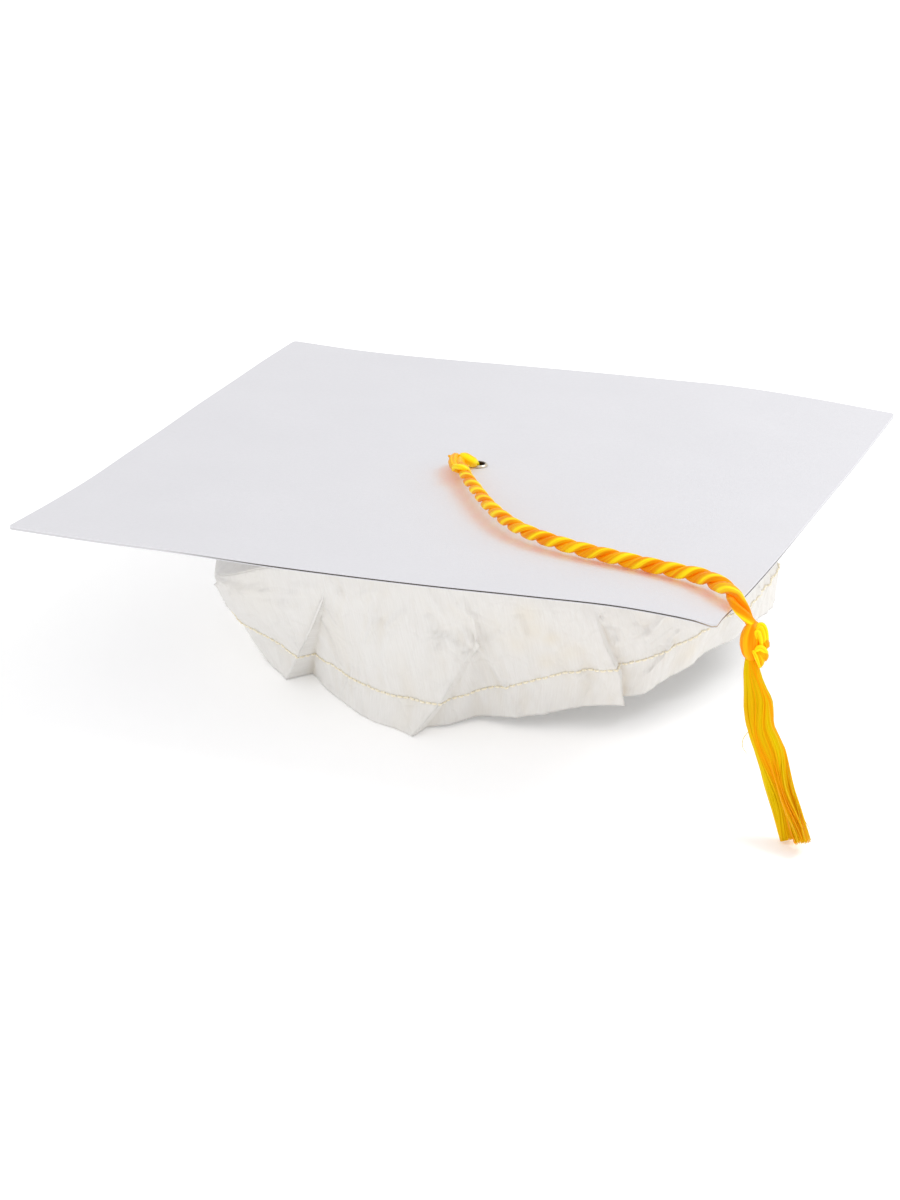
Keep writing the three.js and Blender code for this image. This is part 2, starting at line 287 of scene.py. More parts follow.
# ---- materials ----
class Finish:
    """A Principled material with a few nodes in front of it."""

    def __init__(self, name, color, roughness, **sockets):
        self.material = bpy.data.materials.new(name)
        self.material.use_nodes = True
        self.tree = self.material.node_tree
        self.shader = self.tree.nodes["Principled BSDF"]
        self.shader.inputs["Base Color"].default_value = (*color, 1)
        self.shader.inputs["Roughness"].default_value = roughness
        for socket, value in sockets.items():
            self.shader.inputs[socket.replace("_", " ")].default_value = value
        self.place = self.add("ShaderNodeTexCoord").outputs["Object"]

    def add(self, kind, inputs=None, **settings):
        node = self.tree.nodes.new(kind)
        for name, value in settings.items():
            setattr(node, name, value)
        for name, value in (inputs or {}).items():
            if isinstance(value, bpy.types.NodeSocket):
                self.tree.links.new(value, node.inputs[name])
            else:
                node.inputs[name].default_value = value
        return node

    def cloth_place(self, across=1.0, along=1.0):
        """The cloth map, scaled so that a pattern is stretched along the fibres."""
        source = self.add("ShaderNodeUVMap", uv_map="cloth").outputs["UV"]
        scaled = self.add("ShaderNodeMapping", {"Vector": source})
        scaled.inputs["Scale"].default_value = (across, along, 1)
        return scaled.outputs["Vector"]

    def values(self, name):
        return self.add("ShaderNodeAttribute", attribute_name=name).outputs["Fac"]

    def grain(self, scale, place=None, detail=3.0, roughness=0.5, distortion=0.0):
        """Noise of about one feature for each 1/scale metres."""
        return self.add("ShaderNodeTexNoise", {
            "Vector": place or self.place, "Scale": scale, "Detail": detail,
            "Roughness": roughness, "Distortion": distortion,
        }).outputs["Fac"]

    def ranged(self, value, low, high, to_low=0.0, to_high=1.0):
        return self.add("ShaderNodeMapRange", {
            "Value": value, "From Min": low, "From Max": high,
            "To Min": to_low, "To Max": to_high,
        }).outputs["Result"]

    def mixed(self, share, first, second):
        """A colour between two, each a colour or a socket."""
        node = self.add("ShaderNodeMix", data_type="RGBA")
        for socket, value in ((node.inputs[0], share), (node.inputs[6], first),
                              (node.inputs[7], second)):
            if isinstance(value, bpy.types.NodeSocket):
                self.tree.links.new(value, socket)
            else:
                socket.default_value = value if isinstance(value, float) else (*value, 1)
        return node.outputs[2]

    def shaded(self, value, low, high, first, second, strength=1.0):
        """A colour from first to second as a value goes from low to high."""
        return self.mixed(self.ranged(value, low, high, 0.0, strength), first, second)

    def color(self, socket):
        self.tree.links.new(socket, self.shader.inputs["Base Color"])

    def roughness(self, socket):
        self.tree.links.new(socket, self.shader.inputs["Roughness"])

    def bump(self, height, distance, strength=1.0, under=None):
        """A bump of so many millimetres, on top of another one."""
        inputs = {"Height": height, "Distance": distance * MM, "Strength": strength}
        if under is not None:
            inputs["Normal"] = under
        normal = self.add("ShaderNodeBump", inputs).outputs["Normal"]
        self.tree.links.new(normal, self.shader.inputs["Normal"])
        return normal


def paper_finish():
    finish = Finish("white_paper", (0.70, 0.70, 0.73), 0.62)
    broad = finish.grain(28, detail=4)
    fibre = finish.grain(900, detail=2)
    tint = finish.shaded(broad, 0.35, 0.65, (0.70, 0.695, 0.725), (0.715, 0.71, 0.74))
    tint = finish.shaded(fibre, 0.3, 0.7, tint, (0.66, 0.655, 0.685), 0.35)
    speck = finish.add("ShaderNodeTexVoronoi", {"Vector": finish.place, "Scale": 42.0})
    tint = finish.mixed(
        finish.ranged(speck.outputs["Distance"], 0.012, 0.022, 0.35, 0.0), tint, (0.55, 0.54, 0.55)
    )
    finish.color(tint)
    weft = linen_threads(finish, "X")
    warp = linen_threads(finish, "Y")
    linen = finish.add("ShaderNodeMath", {0: weft, 1: warp}, operation="ADD").outputs[0]
    under = finish.bump(linen, 0.03)
    finish.bump(fibre, 0.03, under=under)
    return finish.material


def linen_threads(finish, direction):
    """Fine uneven ridges one way across the paper, as its embossed linen grain has."""
    return finish.add("ShaderNodeTexWave", {
        "Vector": finish.place, "Scale": 620.0, "Distortion": 2.6, "Detail": 2.0,
        "Detail Scale": 1.3,
    }, bands_direction=direction).outputs["Fac"]


def chipboard_finish():
    finish = Finish("grey_board", (0.16, 0.15, 0.14), 0.95)
    flakes = finish.grain(1500, detail=4)
    worn = finish.values("wear")
    tint = finish.shaded(flakes, 0.3, 0.7, (0.035, 0.03, 0.025), (0.11, 0.095, 0.08))
    tint = finish.mixed(worn, tint, (0.52, 0.42, 0.33))
    finish.color(finish.mixed(finish.values("pale"), tint, (0.62, 0.615, 0.63)))
    finish.bump(flakes, 0.12)
    return finish.material


def wandering_place(finish):
    """The object's own place, pushed about by noise so that a pattern's lines wander."""
    push = finish.add("ShaderNodeTexNoise", {"Vector": finish.place, "Scale": 60.0})
    return finish.add("ShaderNodeVectorMath", {
        0: push.outputs["Color"], 1: (0.02, 0.02, 0.02), 2: finish.place,
    }, operation="MULTIPLY_ADD").outputs["Vector"]


def crown_finish():
    finish = Finish("crown_cloth", (0.86, 0.83, 0.79), 0.9, Sheen_Weight=0.2)
    fibres = finish.grain(1.0, finish.cloth_place(2200, 160), detail=4, roughness=0.6)
    tufts = finish.grain(1.0, finish.cloth_place(300, 60), detail=3)
    crush = finish.grain(95, detail=5, roughness=0.55, distortion=0.6)
    blotch = finish.grain(22, detail=3)
    tint = finish.shaded(fibres, 0.35, 0.65, (0.80, 0.785, 0.76), (0.76, 0.74, 0.71))
    tint = finish.shaded(tufts, 0.45, 0.75, tint, (0.83, 0.815, 0.79), 0.35)
    tint = finish.shaded(blotch, 0.5, 0.75, tint, (0.80, 0.76, 0.69), 0.35)
    tint = finish.mixed(finish.values("stain"), tint, (0.78, 0.64, 0.38))
    # Painted shade: the bottoms of folds and one side of small creases are tinted a warm grey.
    finish.color(finish.mixed(finish.values("painted_fold_shade"), tint, (0.72, 0.66, 0.56)))
    creases = finish.add("ShaderNodeTexVoronoi", {
        "Vector": wandering_place(finish), "Scale": 58.0,
    }, feature="DISTANCE_TO_EDGE").outputs["Distance"]
    under = finish.bump(finish.ranged(creases, 0.0, 0.07), 0.16, 0.8)
    under = finish.bump(crush, 0.4, 0.6, under=under)
    under = finish.bump(tufts, 0.08, under=under)
    finish.bump(fibres, 0.09, under=under)
    return finish.material


def thread_finish():
    finish = Finish("thread", (0.90, 0.82, 0.58), 0.55, Sheen_Weight=0.3)
    ply = finish.grain(2600, detail=2)
    finish.color(finish.shaded(ply, 0.35, 0.65, (0.98, 0.93, 0.78), (0.86, 0.76, 0.54)))
    finish.bump(ply, 0.05)
    return finish.material


def elastic_finish():
    finish = Finish("elastic", (0.90, 0.89, 0.86), 0.8, Sheen_Weight=0.3)
    ribs = finish.add("ShaderNodeTexWave", {
        "Vector": finish.cloth_place(), "Scale": 260.0, "Distortion": 1.0, "Detail": 1.0,
    }, bands_direction="X").outputs["Fac"]
    finish.color(finish.mixed(ribs, (0.80, 0.79, 0.76), (0.93, 0.92, 0.90)))
    finish.bump(ribs, 0.25)
    return finish.material


def satin_finish(name, dark, light, stretch):
    """Shiny rayon: long filaments whose tone each vertex gives, with fine bright hairs. The tone
    holds painted highlights and shade as well as the yarn's own colour. A faint painted glow
    stands for the light that the translucent filaments pass on."""
    finish = Finish(
        name, light, 0.4, Sheen_Weight=0.05, Specular_IOR_Level=0.28,
        Sheen_Tint=(1.0, 0.78, 0.05, 1), Specular_Tint=(1.0, 0.88, 0.2, 1),
        Emission_Color=(1.0, 0.4, 0.0, 1), Emission_Strength=0.08,
    )
    hairs = finish.grain(1.0, finish.cloth_place(*stretch), detail=3)
    tone_and_highlight = finish.add("ShaderNodeMath", {
        0: finish.values("tone_and_highlight"), 1: finish.ranged(hairs, 0.3, 0.7, -0.36, 0.36),
    }, operation="ADD", use_clamp=True).outputs[0]
    # Painted highlight: from the satin's dark orange to the light yellow that stands for its
    # highlights.
    finish.color(finish.mixed(tone_and_highlight, dark, light))
    finish.roughness(finish.ranged(hairs, 0.3, 0.7, 0.32, 0.5))
    finish.bump(hairs, 0.12)
    return finish


def let_light_through(finish, color):
    """Lamps shine through the satin in its own colour, so that it throws a warm shadow."""
    clear = finish.add("ShaderNodeBsdfTransparent", {"Color": (*color, 1)})
    rays = finish.add("ShaderNodeLightPath")
    mix = finish.add("ShaderNodeMixShader", {
        0: rays.outputs["Is Shadow Ray"], 1: finish.shader.outputs["BSDF"],
        2: clear.outputs["BSDF"],
    })
    surface = finish.tree.nodes["Material Output"].inputs["Surface"]
    finish.tree.links.new(mix.outputs[0], surface)


def eyelet_finish():
    finish = Finish("eyelet_metal", (0.78, 0.70, 0.52), 0.28, Metallic=1.0)
    tarnish = finish.grain(700, detail=4)
    tint = finish.shaded(tarnish, 0.4, 0.7, (0.80, 0.74, 0.62), (0.50, 0.40, 0.28))
    # Painted shade: the inside of the bore is painted near black.
    hollow_painted_dark = finish.values("hollow_painted_dark")
    finish.color(finish.mixed(hollow_painted_dark, tint, (0.035, 0.025, 0.02)))
    finish.roughness(finish.ranged(tarnish, 0.3, 0.7, 0.2, 0.42))
    finish.bump(tarnish, 0.02)
    return finish.material


PAPER = paper_finish()
CHIPBOARD = chipboard_finish()
CLOTH = crown_finish()
THREAD = thread_finish()
ELASTIC = elastic_finish()
METAL = eyelet_finish()
# Each satin's light colour serves its painted highlights and sheen as well as its gold bands.
cord_finish = satin_finish("cord_satin", (0.86, 0.24, 0.0), (1.0, 0.80, 0.01), (2200, 50))
let_light_through(cord_finish, (1.0, 0.66, 0.38))
SATIN = cord_finish.material
FLOSS = satin_finish("tassel_floss", (0.92, 0.36, 0.0), (0.76, 0.56, 0.0), (3400, 30)).material


# ---- cord ----
CORD_STEP = 0.7
PLY_OUT = 1.22  # from the cord's middle to a ply's
PLY_THICK = 1.28
PLY_WIDE = 1.75
LAY = 16.5  # cord length in which a ply goes once round
LOOSE_LAY = 30.0
LOOSE_LENGTH = 34.0  # the twist opens before the tassel's knot
NECK_LENGTH = 6.0  # the cord narrows into the tassel's knot
NECK_SHARE = 0.78
SLIM_SHARE = 0.84  # thickness where the cord is pulled tight by the knot
SLIM_LENGTH = 120.0
PLY_SIDES = 30
FILAMENT_ACROSS = 0.35  # cloth map from one vertex of a tube to the next, round it
FILAMENT_ALONG = 0.5  # and along it


def twisted_cord(path, turns, thickness):
    """Two plies of filaments that wind round a path, by an angle at each of its points,
    with a share of their full thickness."""
    _, side, up = carried_frames(path)
    parts = []
    for ply in range(2):
        angle = (turns + ply * math.pi)[:, None]
        outward = side * np.cos(angle) + up * np.sin(angle)
        middle = path + outward * (PLY_OUT * thickness)[:, None]
        tangents = unit(np.gradient(middle, axis=0))
        across = unit(np.cross(tangents, outward))
        parts.append(swept(
            middle, outward, across, PLY_THICK * thickness, PLY_WIDE * thickness,
            PLY_SIDES, grooves=13, depth=0.035, twist=CORD_STEP * 2 * math.pi / LAY,
        ))
    return joined(parts)


def filament_map(piece, sides, shift=0.0):
    """A cloth map for tubes with so many vertices in each ring. Returns each vertex's place
    round its ring, and its ring's number."""
    index = np.arange(len(piece.data.vertices))
    place, ring = index % sides, index // sides
    add_cloth_map(piece, place * FILAMENT_ACROSS + shift, ring * FILAMENT_ALONG)
    return place, ring


def make_cord():
    path = smooth_path(at_board([*BOARD_ROUTE, SWING_POINT, KNOT_TOP]), CORD_STEP)
    along = lengths_along(path)
    left = along[-1] - along
    loosening = np.clip(1 - left / LOOSE_LENGTH, 0, 1)
    lay = LAY + (LOOSE_LAY - LAY) * loosening
    turns = -np.cumsum(2 * math.pi * CORD_STEP / lay)
    swell = 1 + 0.10 * np.sin(math.pi * np.clip(1 - (left - NECK_LENGTH) / LOOSE_LENGTH, 0, 1))
    neck = NECK_SHARE + (1 - NECK_SHARE) * np.clip(left / NECK_LENGTH, 0, 1)
    slim = SLIM_SHARE + (1 - SLIM_SHARE) * np.clip(along / SLIM_LENGTH, 0, 1)
    vertices, faces = twisted_cord(path, turns, swell * neck * slim)
    piece = new_piece("tassel_cord_twisted", vertices, faces, SATIN)
    place, ring = filament_map(piece, PLY_SIDES)
    # Painted highlight: each ply is painted brightest along a narrow crest a little off its outer
    # side, and its tone drifts along the cord.
    crest = np.clip(np.cos(2 * math.pi * place / PLY_SIDES - 0.5), 0, 1) ** 7
    add_values(piece, "tone_and_highlight", 0.12 + 0.9 * crest + 0.12 * np.sin(ring % len(path) * 0.21))
    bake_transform(piece)
    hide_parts("tassel_cord", "tassel_cord_drop")
    return piece, path, along[-1]


def satin_piece(name, parts, body, nodes, tones_and_highlights):
    """Loops of cord as one piece. Each has its own tone, and painted highlight streaks make it
    brighter on some sides.
    """
    vertices, faces = joined(parts)
    piece = new_piece(name, vertices, faces, SATIN)
    place, _ = filament_map(piece, KNOT_SIDES)
    counts = [len(part[0]) for part in parts]
    painted_highlight_streaks = 1 + 0.3 * np.sin(2 * math.pi * place * 3 / KNOT_SIDES)
    add_values(piece, "tone_and_highlight", np.repeat(tones_and_highlights, counts) * painted_highlight_streaks)
    return stand_in(piece, body, nodes)


KNOT_SIDES = 20
STOPPER_DROP = 6.9  # from the board's top down to the middle of the knot inside the crown
FRAYED_ENDS = 14


def make_top_knot():
    """The cord comes up through the eyelet, bends over and is wrapped by its own strand."""
    neck = at_board([
        (-0.4, 0, -4), (-0.9, -0.4, 0.3), (-1.0, -2.2, 1.6), (-1.1, -4.4, 2.8), (-2.0, -5.2, 3.6),
        (-3.2, -4.6, 3.8), (-4.4, -3.5, 3.4), (-5.2, -3.2, 2.2),
    ])
    left = at_board([
        (-7.3, -1.2, 2.4), (-6.7, -4.6, 3.6), (-6.1, -8.3, 3.8), (-4.7, -12.3, 3.5),
        (-2.5, -15.4, 3.3), (-0.5, -16.6, 3.2),
    ])
    middle = at_board([
        (-6.0, -1.6, 2.2), (-4.2, -6.6, 2.9), (-2.6, -11.2, 3.1), (-0.9, -14.6, 3.1),
    ])
    wrap = at_board([
        (-3.4, -15.6, 2.6), (-2.6, -17.0, 4.2), (-0.9, -18.4, 5.0), (1.2, -19.4, 5.2),
        (2.4, -18.9, 4.4), (2.6, -17.0, 2.6),
    ])
    stub = at_board([(-6.6, -6.4, 3.6), (-7.9, -6.2, 4.0), (-8.9, -6.0, 4.3)])
    # Each strand's points, radii and tone; the brighter tones are painted highlight on the neck
    # and the wrap.
    pieces = [
        (neck, [1.1, 1.2, 1.5, 1.85, 1.9, 1.8, 1.5], 0.85),
        (left, [1.2, 1.6, 1.65, 1.5, 1.2], 0.25), (middle, [1.2, 1.7, 1.8, 1.7], 0.4),
        (wrap, [0.6, 0.9, 0.95, 0.8, 0.6], 1.0), (stub, [1.0, 0.8, 0.3], 0.3),
    ]
    parts = [yarn(line, radius, sides=KNOT_SIDES) for line, radius, _ in pieces]
    tones_and_highlights = [tone_and_highlight for _, _, tone_and_highlight in pieces]
    return satin_piece("top_knot_loops", parts, "cord", ["cord_neck", "top_knot"], tones_and_highlights)


def make_stopper_knot():
    """An overhand knot under the eyelet, with the cord's short frayed end below it."""
    t = np.linspace(0, 2 * math.pi, 40)
    loop = np.column_stack([
        0.95 * (np.sin(t) + 2 * np.sin(2 * t)),
        0.95 * (np.cos(t) - 2 * np.cos(2 * t)),
        BOARD_TOP - STOPPER_DROP - 1.6 * np.sin(3 * t),
    ])
    parts = [yarn(loop, 1.55, sides=KNOT_SIDES)]
    rng = np.random.default_rng(3)
    for _ in range(FRAYED_ENDS):
        spread = rng.normal(0, 1, 2)
        end = np.array([1.8 * spread[0], 1.8 * spread[1], BOARD_TOP - 15.5 - rng.random() * 2])
        middle = np.array([0.4 * spread[0], 0.4 * spread[1], BOARD_TOP - 11.5])
        start = np.array([0, 0, BOARD_TOP - 8])
        parts.append(yarn([start, middle, end], [0.45, 0.3, 0.22], sides=KNOT_SIDES))
    tones_and_highlights = [0.55] * len(parts)
    return satin_piece("stopper_knot_loops", parts, "cord", ["stopper_knot"], tones_and_highlights)


# The tassel's knot is drawn on its own axes: down its length, to its right and to its front.
KNOT_RIGHT = (0.938, 0.347, 0.0)


def on_knot(points):
    top, bottom = at_board([KNOT_TOP, KNOT_BOTTOM])
    down = unit(bottom - top)
    right = unit(np.array(KNOT_RIGHT) - down * np.dot(KNOT_RIGHT, down))
    front = np.cross(down, right)
    return top + np.array(points, float) @ np.stack([down, right, front])


# Its loops: the points of each, its radii along it and its tone; the bright tones are painted
# highlight on the ribs.
TASSEL_LOOPS = [
    ([(-0.9, 0.9, -0.6), (1.2, -0.2, 0.2), (3.8, -1.2, 0.6), (6.2, -1.6, 0.7), (8.4, -1.5, 0.5),
      (10.5, -0.9, 0.0)], [1.3, 2.5, 3.0, 3.0, 2.6, 1.4], 0.18),
    ([(0.8, 1.2, -0.2), (2.0, 2.1, -0.1), (4.2, 2.4, 0.0), (6.6, 1.9, 0.2), (8.6, 0.9, 0.5)],
     [1.1, 1.6, 1.8, 1.7, 1.4], 0.5),
    ([(1.6, 1.2, 1.0), (0.3, 1.7, 1.3), (0.0, 2.5, 1.4), (0.7, 3.3, 1.3), (2.4, 3.7, 1.2),
      (4.3, 3.7, 1.2), (5.8, 3.6, 1.0), (7.0, 2.9, 0.8)], [0.6, 0.8, 0.85, 0.8, 0.6], 0.95),
    ([(2.4, 0.6, 1.9), (1.2, 1.3, 2.1), (0.7, 2.0, 2.2), (1.7, 2.5, 2.1), (3.5, 2.8, 2.0),
      (5.1, 2.9, 1.9), (6.6, 2.6, 1.6)], [0.6, 0.75, 0.8, 0.75, 0.6], 0.8),
    ([(4.2, 0.2, 2.5), (2.3, 0.7, 2.7), (2.0, 1.3, 2.8), (3.1, 1.6, 2.8), (4.7, 1.9, 2.6),
      (6.2, 1.9, 2.2)], [0.6, 0.75, 0.8, 0.75, 0.6], 0.9),
    ([(4.7, 2.4, 1.2), (5.5, 3.2, 1.4), (6.5, 3.4, 1.2), (7.2, 2.6, 1.0)],
     [0.8, 1.2, 1.2, 0.8], 0.25),
    ([(8.1, -0.4, 2.4), (7.3, 0.5, 2.9), (7.0, 1.5, 3.1), (7.8, 2.4, 2.8), (8.9, 3.0, 1.8),
      (9.7, 2.9, 1.0)], [0.6, 0.95, 1.0, 0.95, 0.7], 0.95),
    ([(8.8, 0.5, 1.8), (8.4, 1.4, 2.2), (8.7, 2.4, 2.1), (9.8, 2.7, 1.8), (10.6, 2.0, 1.6),
      (10.0, 1.2, 1.6)], [0.8, 1.15, 1.2, 1.1, 0.8], 0.3),
    ([(8.3, 0.2, 2.0), (9.9, 0.7, 2.3), (11.5, 1.2, 2.2), (13.0, 0.9, 1.8)],
     [0.9, 1.3, 1.2, 0.4], 0.35),
    ([(7.6, -1.0, 2.9), (8.9, -0.4, 3.2), (10.8, 0.2, 3.2), (13.1, 0.8, 2.5)],
     [0.4, 0.6, 0.55, 0.3], 1.0),
]


def make_tassel_knot():
    parts = [yarn(on_knot(line), radii, sides=KNOT_SIDES) for line, radii, _ in TASSEL_LOOPS]
    tones_and_highlights = [tone_and_highlight for _, _, tone_and_highlight in TASSEL_LOOPS]
    return satin_piece("tassel_knot_loops", parts, "tassel", ["tassel_knot"], tones_and_highlights)


# ---- tassel skirt ----
STRANDS = 460
STRAND_SIDES = 5
# Half of the skirt's width by its height against the board's top.
SKIRT_HALF_WIDTH = (
    [-64, -57.4, -50.4, -43.3, -39.8, -36.3, -32.7, -29.2, -25.6, -22.1, -19.2, -16.3, -13.5, -12],
    [3.9, 4.05, 4.05, 4.35, 4.5, 4.25, 3.95, 4.35, 4.35, 3.4, 2.8, 2.4, 1.75, 1.3],
)
FLOOR_GAP = 0.3
CORE_SIDES = 6 * STRAND_SIDES
STRAND_SPACING = 2.9  # between strands on the cloth map, so that each has its own hairs


def strand(points, radius, step):
    """A plain thin thread."""
    return yarn(points, radius, step, STRAND_SIDES, grooves=0, depth=0)


def make_skirt():
    """Fine silky strands over a fuller bundle, in bands of orange and gold, with a painted sheen
    of gold at the bundle's left and right edges.
    """
    rng = np.random.default_rng(11)
    line = smooth_path(at_board(SKIRT_LINE), 1.6)
    share = np.linspace(0, 1, len(line))
    down = unit(line[-1] - line[0])
    right = unit(np.array(KNOT_RIGHT) - down * np.dot(KNOT_RIGHT, down))
    front = np.cross(down, right)
    width = np.interp(line[:, 2] - BOARD_TOP, *SKIRT_HALF_WIDTH)
    depth = 0.5 * width + 0.3
    core = swept(
        line[:-1], right + 0 * line[:-1], front + 0 * line[:-1], 0.88 * width[:-1],
        0.82 * depth[:-1], CORE_SIDES, grooves=11, depth=0.04, twist=0.01,
    )
    parts = [core]
    tones_and_highlights = [0.55 + 0 * core[0][:, 0]]
    for _ in range(STRANDS):
        around = rng.uniform(-math.pi, math.pi)
        drift = 0.22 * np.sin(8 * share + 2 * around) + 0.10 * np.sin(15 * share - 3 * around)
        turn = around + drift + rng.normal(0, 0.10) * share
        reach = rng.uniform(0.86, 1.02)
        across = reach * np.cos(turn) * width
        fore = reach * np.sin(turn) * depth
        path = line + right * across[:, None] + front * fore[:, None]
        path = finish_strand(path, share, math.cos(turn[-1]), front, rng)
        thickness = rng.uniform(0.15, 0.25)
        tube = strand(path, [thickness, thickness, thickness * 0.6], 1.9)
        band = noise.noise((1.9 * math.cos(around), 1.9 * math.sin(around), 4.2))
        ring = np.linspace(0, 1, len(tube[0]))
        parts.append(tube)
        # Random bands, painted sheen at the left and right edges, and streaks along the strand.
        tones_and_highlights.append(0.42 + 1.1 * band + 0.45 * math.cos(around) ** 2 + rng.normal(0, 0.16)
                     + 0.26 * np.sin(9 * ring + 3 * around))
    for fibre in stray_fibres(line, right, front):
        parts.append(fibre)
        tones_and_highlights.append(0.9 + 0 * fibre[0][:, 0])
    vertices, faces = joined(parts)
    piece = new_piece("tassel_skirt_strands", vertices, faces, FLOSS)
    number = np.repeat(np.arange(len(parts)), [len(part[0]) for part in parts])
    filament_map(piece, STRAND_SIDES, number * STRAND_SPACING)
    add_values(piece, "tone_and_highlight", np.concatenate(tones_and_highlights))
    return stand_in(piece, "tassel", ["tassel_skirt"])


def finish_strand(path, share, side, front, rng):
    """Leans a strand of the right side out to the front, where it ends on the floor."""
    if side > 0.05:
        reach = rng.uniform(5.5, 9.5) + (rng.uniform(2, 6) if rng.random() < 0.12 else 0)
        bend = np.clip((share - 0.5) / 0.5, 0, 1)[:, None] ** 1.3
        path = path + (front * reach - UP * 1.0 + rng.normal(0, 0.35, 3)) * bend
    path[:, 2] = np.maximum(path[:, 2], FLOOR_GAP + rng.uniform(0, 0.5))
    return path


def stray_fibres(line, right, front):
    """A loose hair at the skirt's left, and one that stands off its right end."""
    upper = line[len(line) * 2 // 5]
    hair = [upper - right * 3.6 + front, upper - right * 5.4 - UP * 2.2,
            upper - right * 5.6 - UP * 5.0, upper - right * 4.0 - UP * 7.8]
    off = [line[-9] + right * 3.4, line[-5] + right * 4.3, line[-2] + right * 5.6 + front * 2]
    return [strand(points, [0.1, 0.12, 0.06], 1.2) for points in (hair, off)]


# ---- board ----
# The board is a little warped: how far its edges stand off the flat at even steps, from
# the low end of each to the high end.
FRONT_WARP = (-0.5, -0.8, -0.6, -0.9, -0.6, 0.1, 1.2, 2.0, 0.6)
BACK_WARP = (-0.1, -0.9, -0.5, 0.4, 1.2, 1.8, 2.2, 1.0, -1.1)
LEFT_WARP = (-0.5, -1.7, -2.3, -1.8, -1.4, -0.7, -0.4, 0.0, -0.1)
RIGHT_WARP = (0.6, -1.6, -2.5, -2.7, -2.5, -2.5, -2.5, -1.8, -1.1)
DIMPLE = 0.5  # how far the eyelet holds the middle below the curled board round it
DIMPLE_RADIUS = 17
TIP_DROP = 1.0  # the front right corner is bent down
TIP_RADIUS = 5
TIP_BLUNT = 0.5  # and its point is worn off
PRESSED = 0.3  # how far the top paper is pressed down over the core's cut edge
WEAR_RADIUS = 5  # of the worn place round that corner
PALE_FROM = (-25, -60)  # the core's edge fades to the left of this X and behind this Y
PALE_WIDTH = 40
SHARP_ANGLE = math.radians(40)
SIDE_STEPS = 44
ARC_STEPS = 5
RING_STEPS = 44


def warp_along(heights, share):
    """A smooth curve through even heights, at a share of the way from 0 to 1."""
    steps = len(heights) - 1
    at = np.clip(np.asarray(share) * steps, 0, steps)
    first = np.minimum(at.astype(int), steps - 1)
    t = at - first
    padded = np.array([2 * heights[0] - heights[1], *heights, 2 * heights[-1] - heights[-2]])
    return catmull_rom(*(padded[first + k] for k in range(4)), t)


def curl(x, y):
    """Height of the warped board over the flat one. The eyelet holds it at its centre."""
    s = np.clip(x / BOARD_SIDE + 0.5, 0, 1)
    t = np.clip(y / BOARD_SIDE + 0.5, 0, 1)
    front, back = warp_along(FRONT_WARP, s), warp_along(BACK_WARP, s)
    left, right = warp_along(LEFT_WARP, t), warp_along(RIGHT_WARP, t)
    corners = (
        (1 - s) * (1 - t) * FRONT_WARP[0] + s * (1 - t) * FRONT_WARP[-1]
        + (1 - s) * t * BACK_WARP[0] + s * t * BACK_WARP[-1]
    )
    warp = (1 - t) * front + t * back + (1 - s) * left + s * right - corners
    dent = 1 - np.exp(-((np.hypot(x, y) / DIMPLE_RADIUS) ** 2))
    away = (x - BOARD_SIDE / 2) ** 2 + (y + BOARD_SIDE / 2) ** 2
    return (warp + DIMPLE) * dent - TIP_DROP * np.exp(-(away / TIP_RADIUS**2))


def board_outline():
    half = BOARD_SIDE / 2
    inner = half - CORNER_ROUND
    points = []
    for corner in range(4):
        turn = corner * math.pi / 2
        cos, sin = math.cos(turn), math.sin(turn)
        blunt = TIP_BLUNT if corner == 3 else 0.0
        for k in range(ARC_STEPS):
            angle = turn + (k / (ARC_STEPS - 1)) * math.pi / 2
            middle = 1 - abs(2 * k / (ARC_STEPS - 1) - 1)
            reach = CORNER_ROUND - blunt * middle
            points.append((
                inner * (cos - sin) + reach * math.cos(angle),
                inner * (sin + cos) + reach * math.sin(angle),
            ))
        for k in range(1, SIDE_STEPS):
            along = inner - 2 * inner * k / SIDE_STEPS
            points.append((along * cos - half * sin, along * sin + half * cos))
    return np.array(points)


def board_sheet(name, bottom, top, material, node, slot):
    """One curled layer of the board, with the eyelet's hole through it."""
    outline = board_outline()
    angle = np.arctan2(outline[:, 1], outline[:, 0])
    hole = EYELET_HOLE_RADIUS * np.column_stack([np.cos(angle), np.sin(angle)])
    share = (np.linspace(0, 1, RING_STEPS) ** 1.25)[:, None, None]
    plan = hole + (outline - hole) * share
    rise = curl(plan[..., 0], plan[..., 1])
    layers = []
    for level, order in ((top, slice(None)), (bottom, slice(None, None, -1))):
        height = (level + rise)[order]
        layers.append(np.concatenate([plan[order], height[..., None]], axis=-1))
    shell = np.concatenate(layers)
    faces = grid_faces(len(shell), len(outline), around=True, closed=True)
    piece = new_piece(name, shell.reshape(-1, 3), faces, material)
    x, y = shell[..., 0].ravel(), shell[..., 1].ravel()
    away = np.hypot(x - BOARD_SIDE / 2, y + BOARD_SIDE / 2)
    add_values(piece, "wear", np.exp(-((away / WEAR_RADIUS) ** 2)))
    pale = np.maximum((PALE_FROM[0] - x) / PALE_WIDTH, (y - PALE_FROM[1]) / PALE_WIDTH)
    add_values(piece, "pale", np.clip(pale, 0, 1))
    piece.data.set_sharp_from_angle(angle=SHARP_ANGLE)
    stand_in(piece, "cap", [node])


def make_board():
    core = BOARD_BOTTOM + FACING
    facing = core + CORE - PRESSED
    for sheet in (
        ("top_paper_sheet", facing, BOARD_TOP, PAPER, "board_top_paper", "white_paper"),
        ("chipboard_sheet", core, facing, CHIPBOARD, "board_core", "grey_board"),
        ("under_paper_sheet", BOARD_BOTTOM, core, PAPER, "board_bottom_paper", "white_paper"),
    ):
        board_sheet(*sheet)


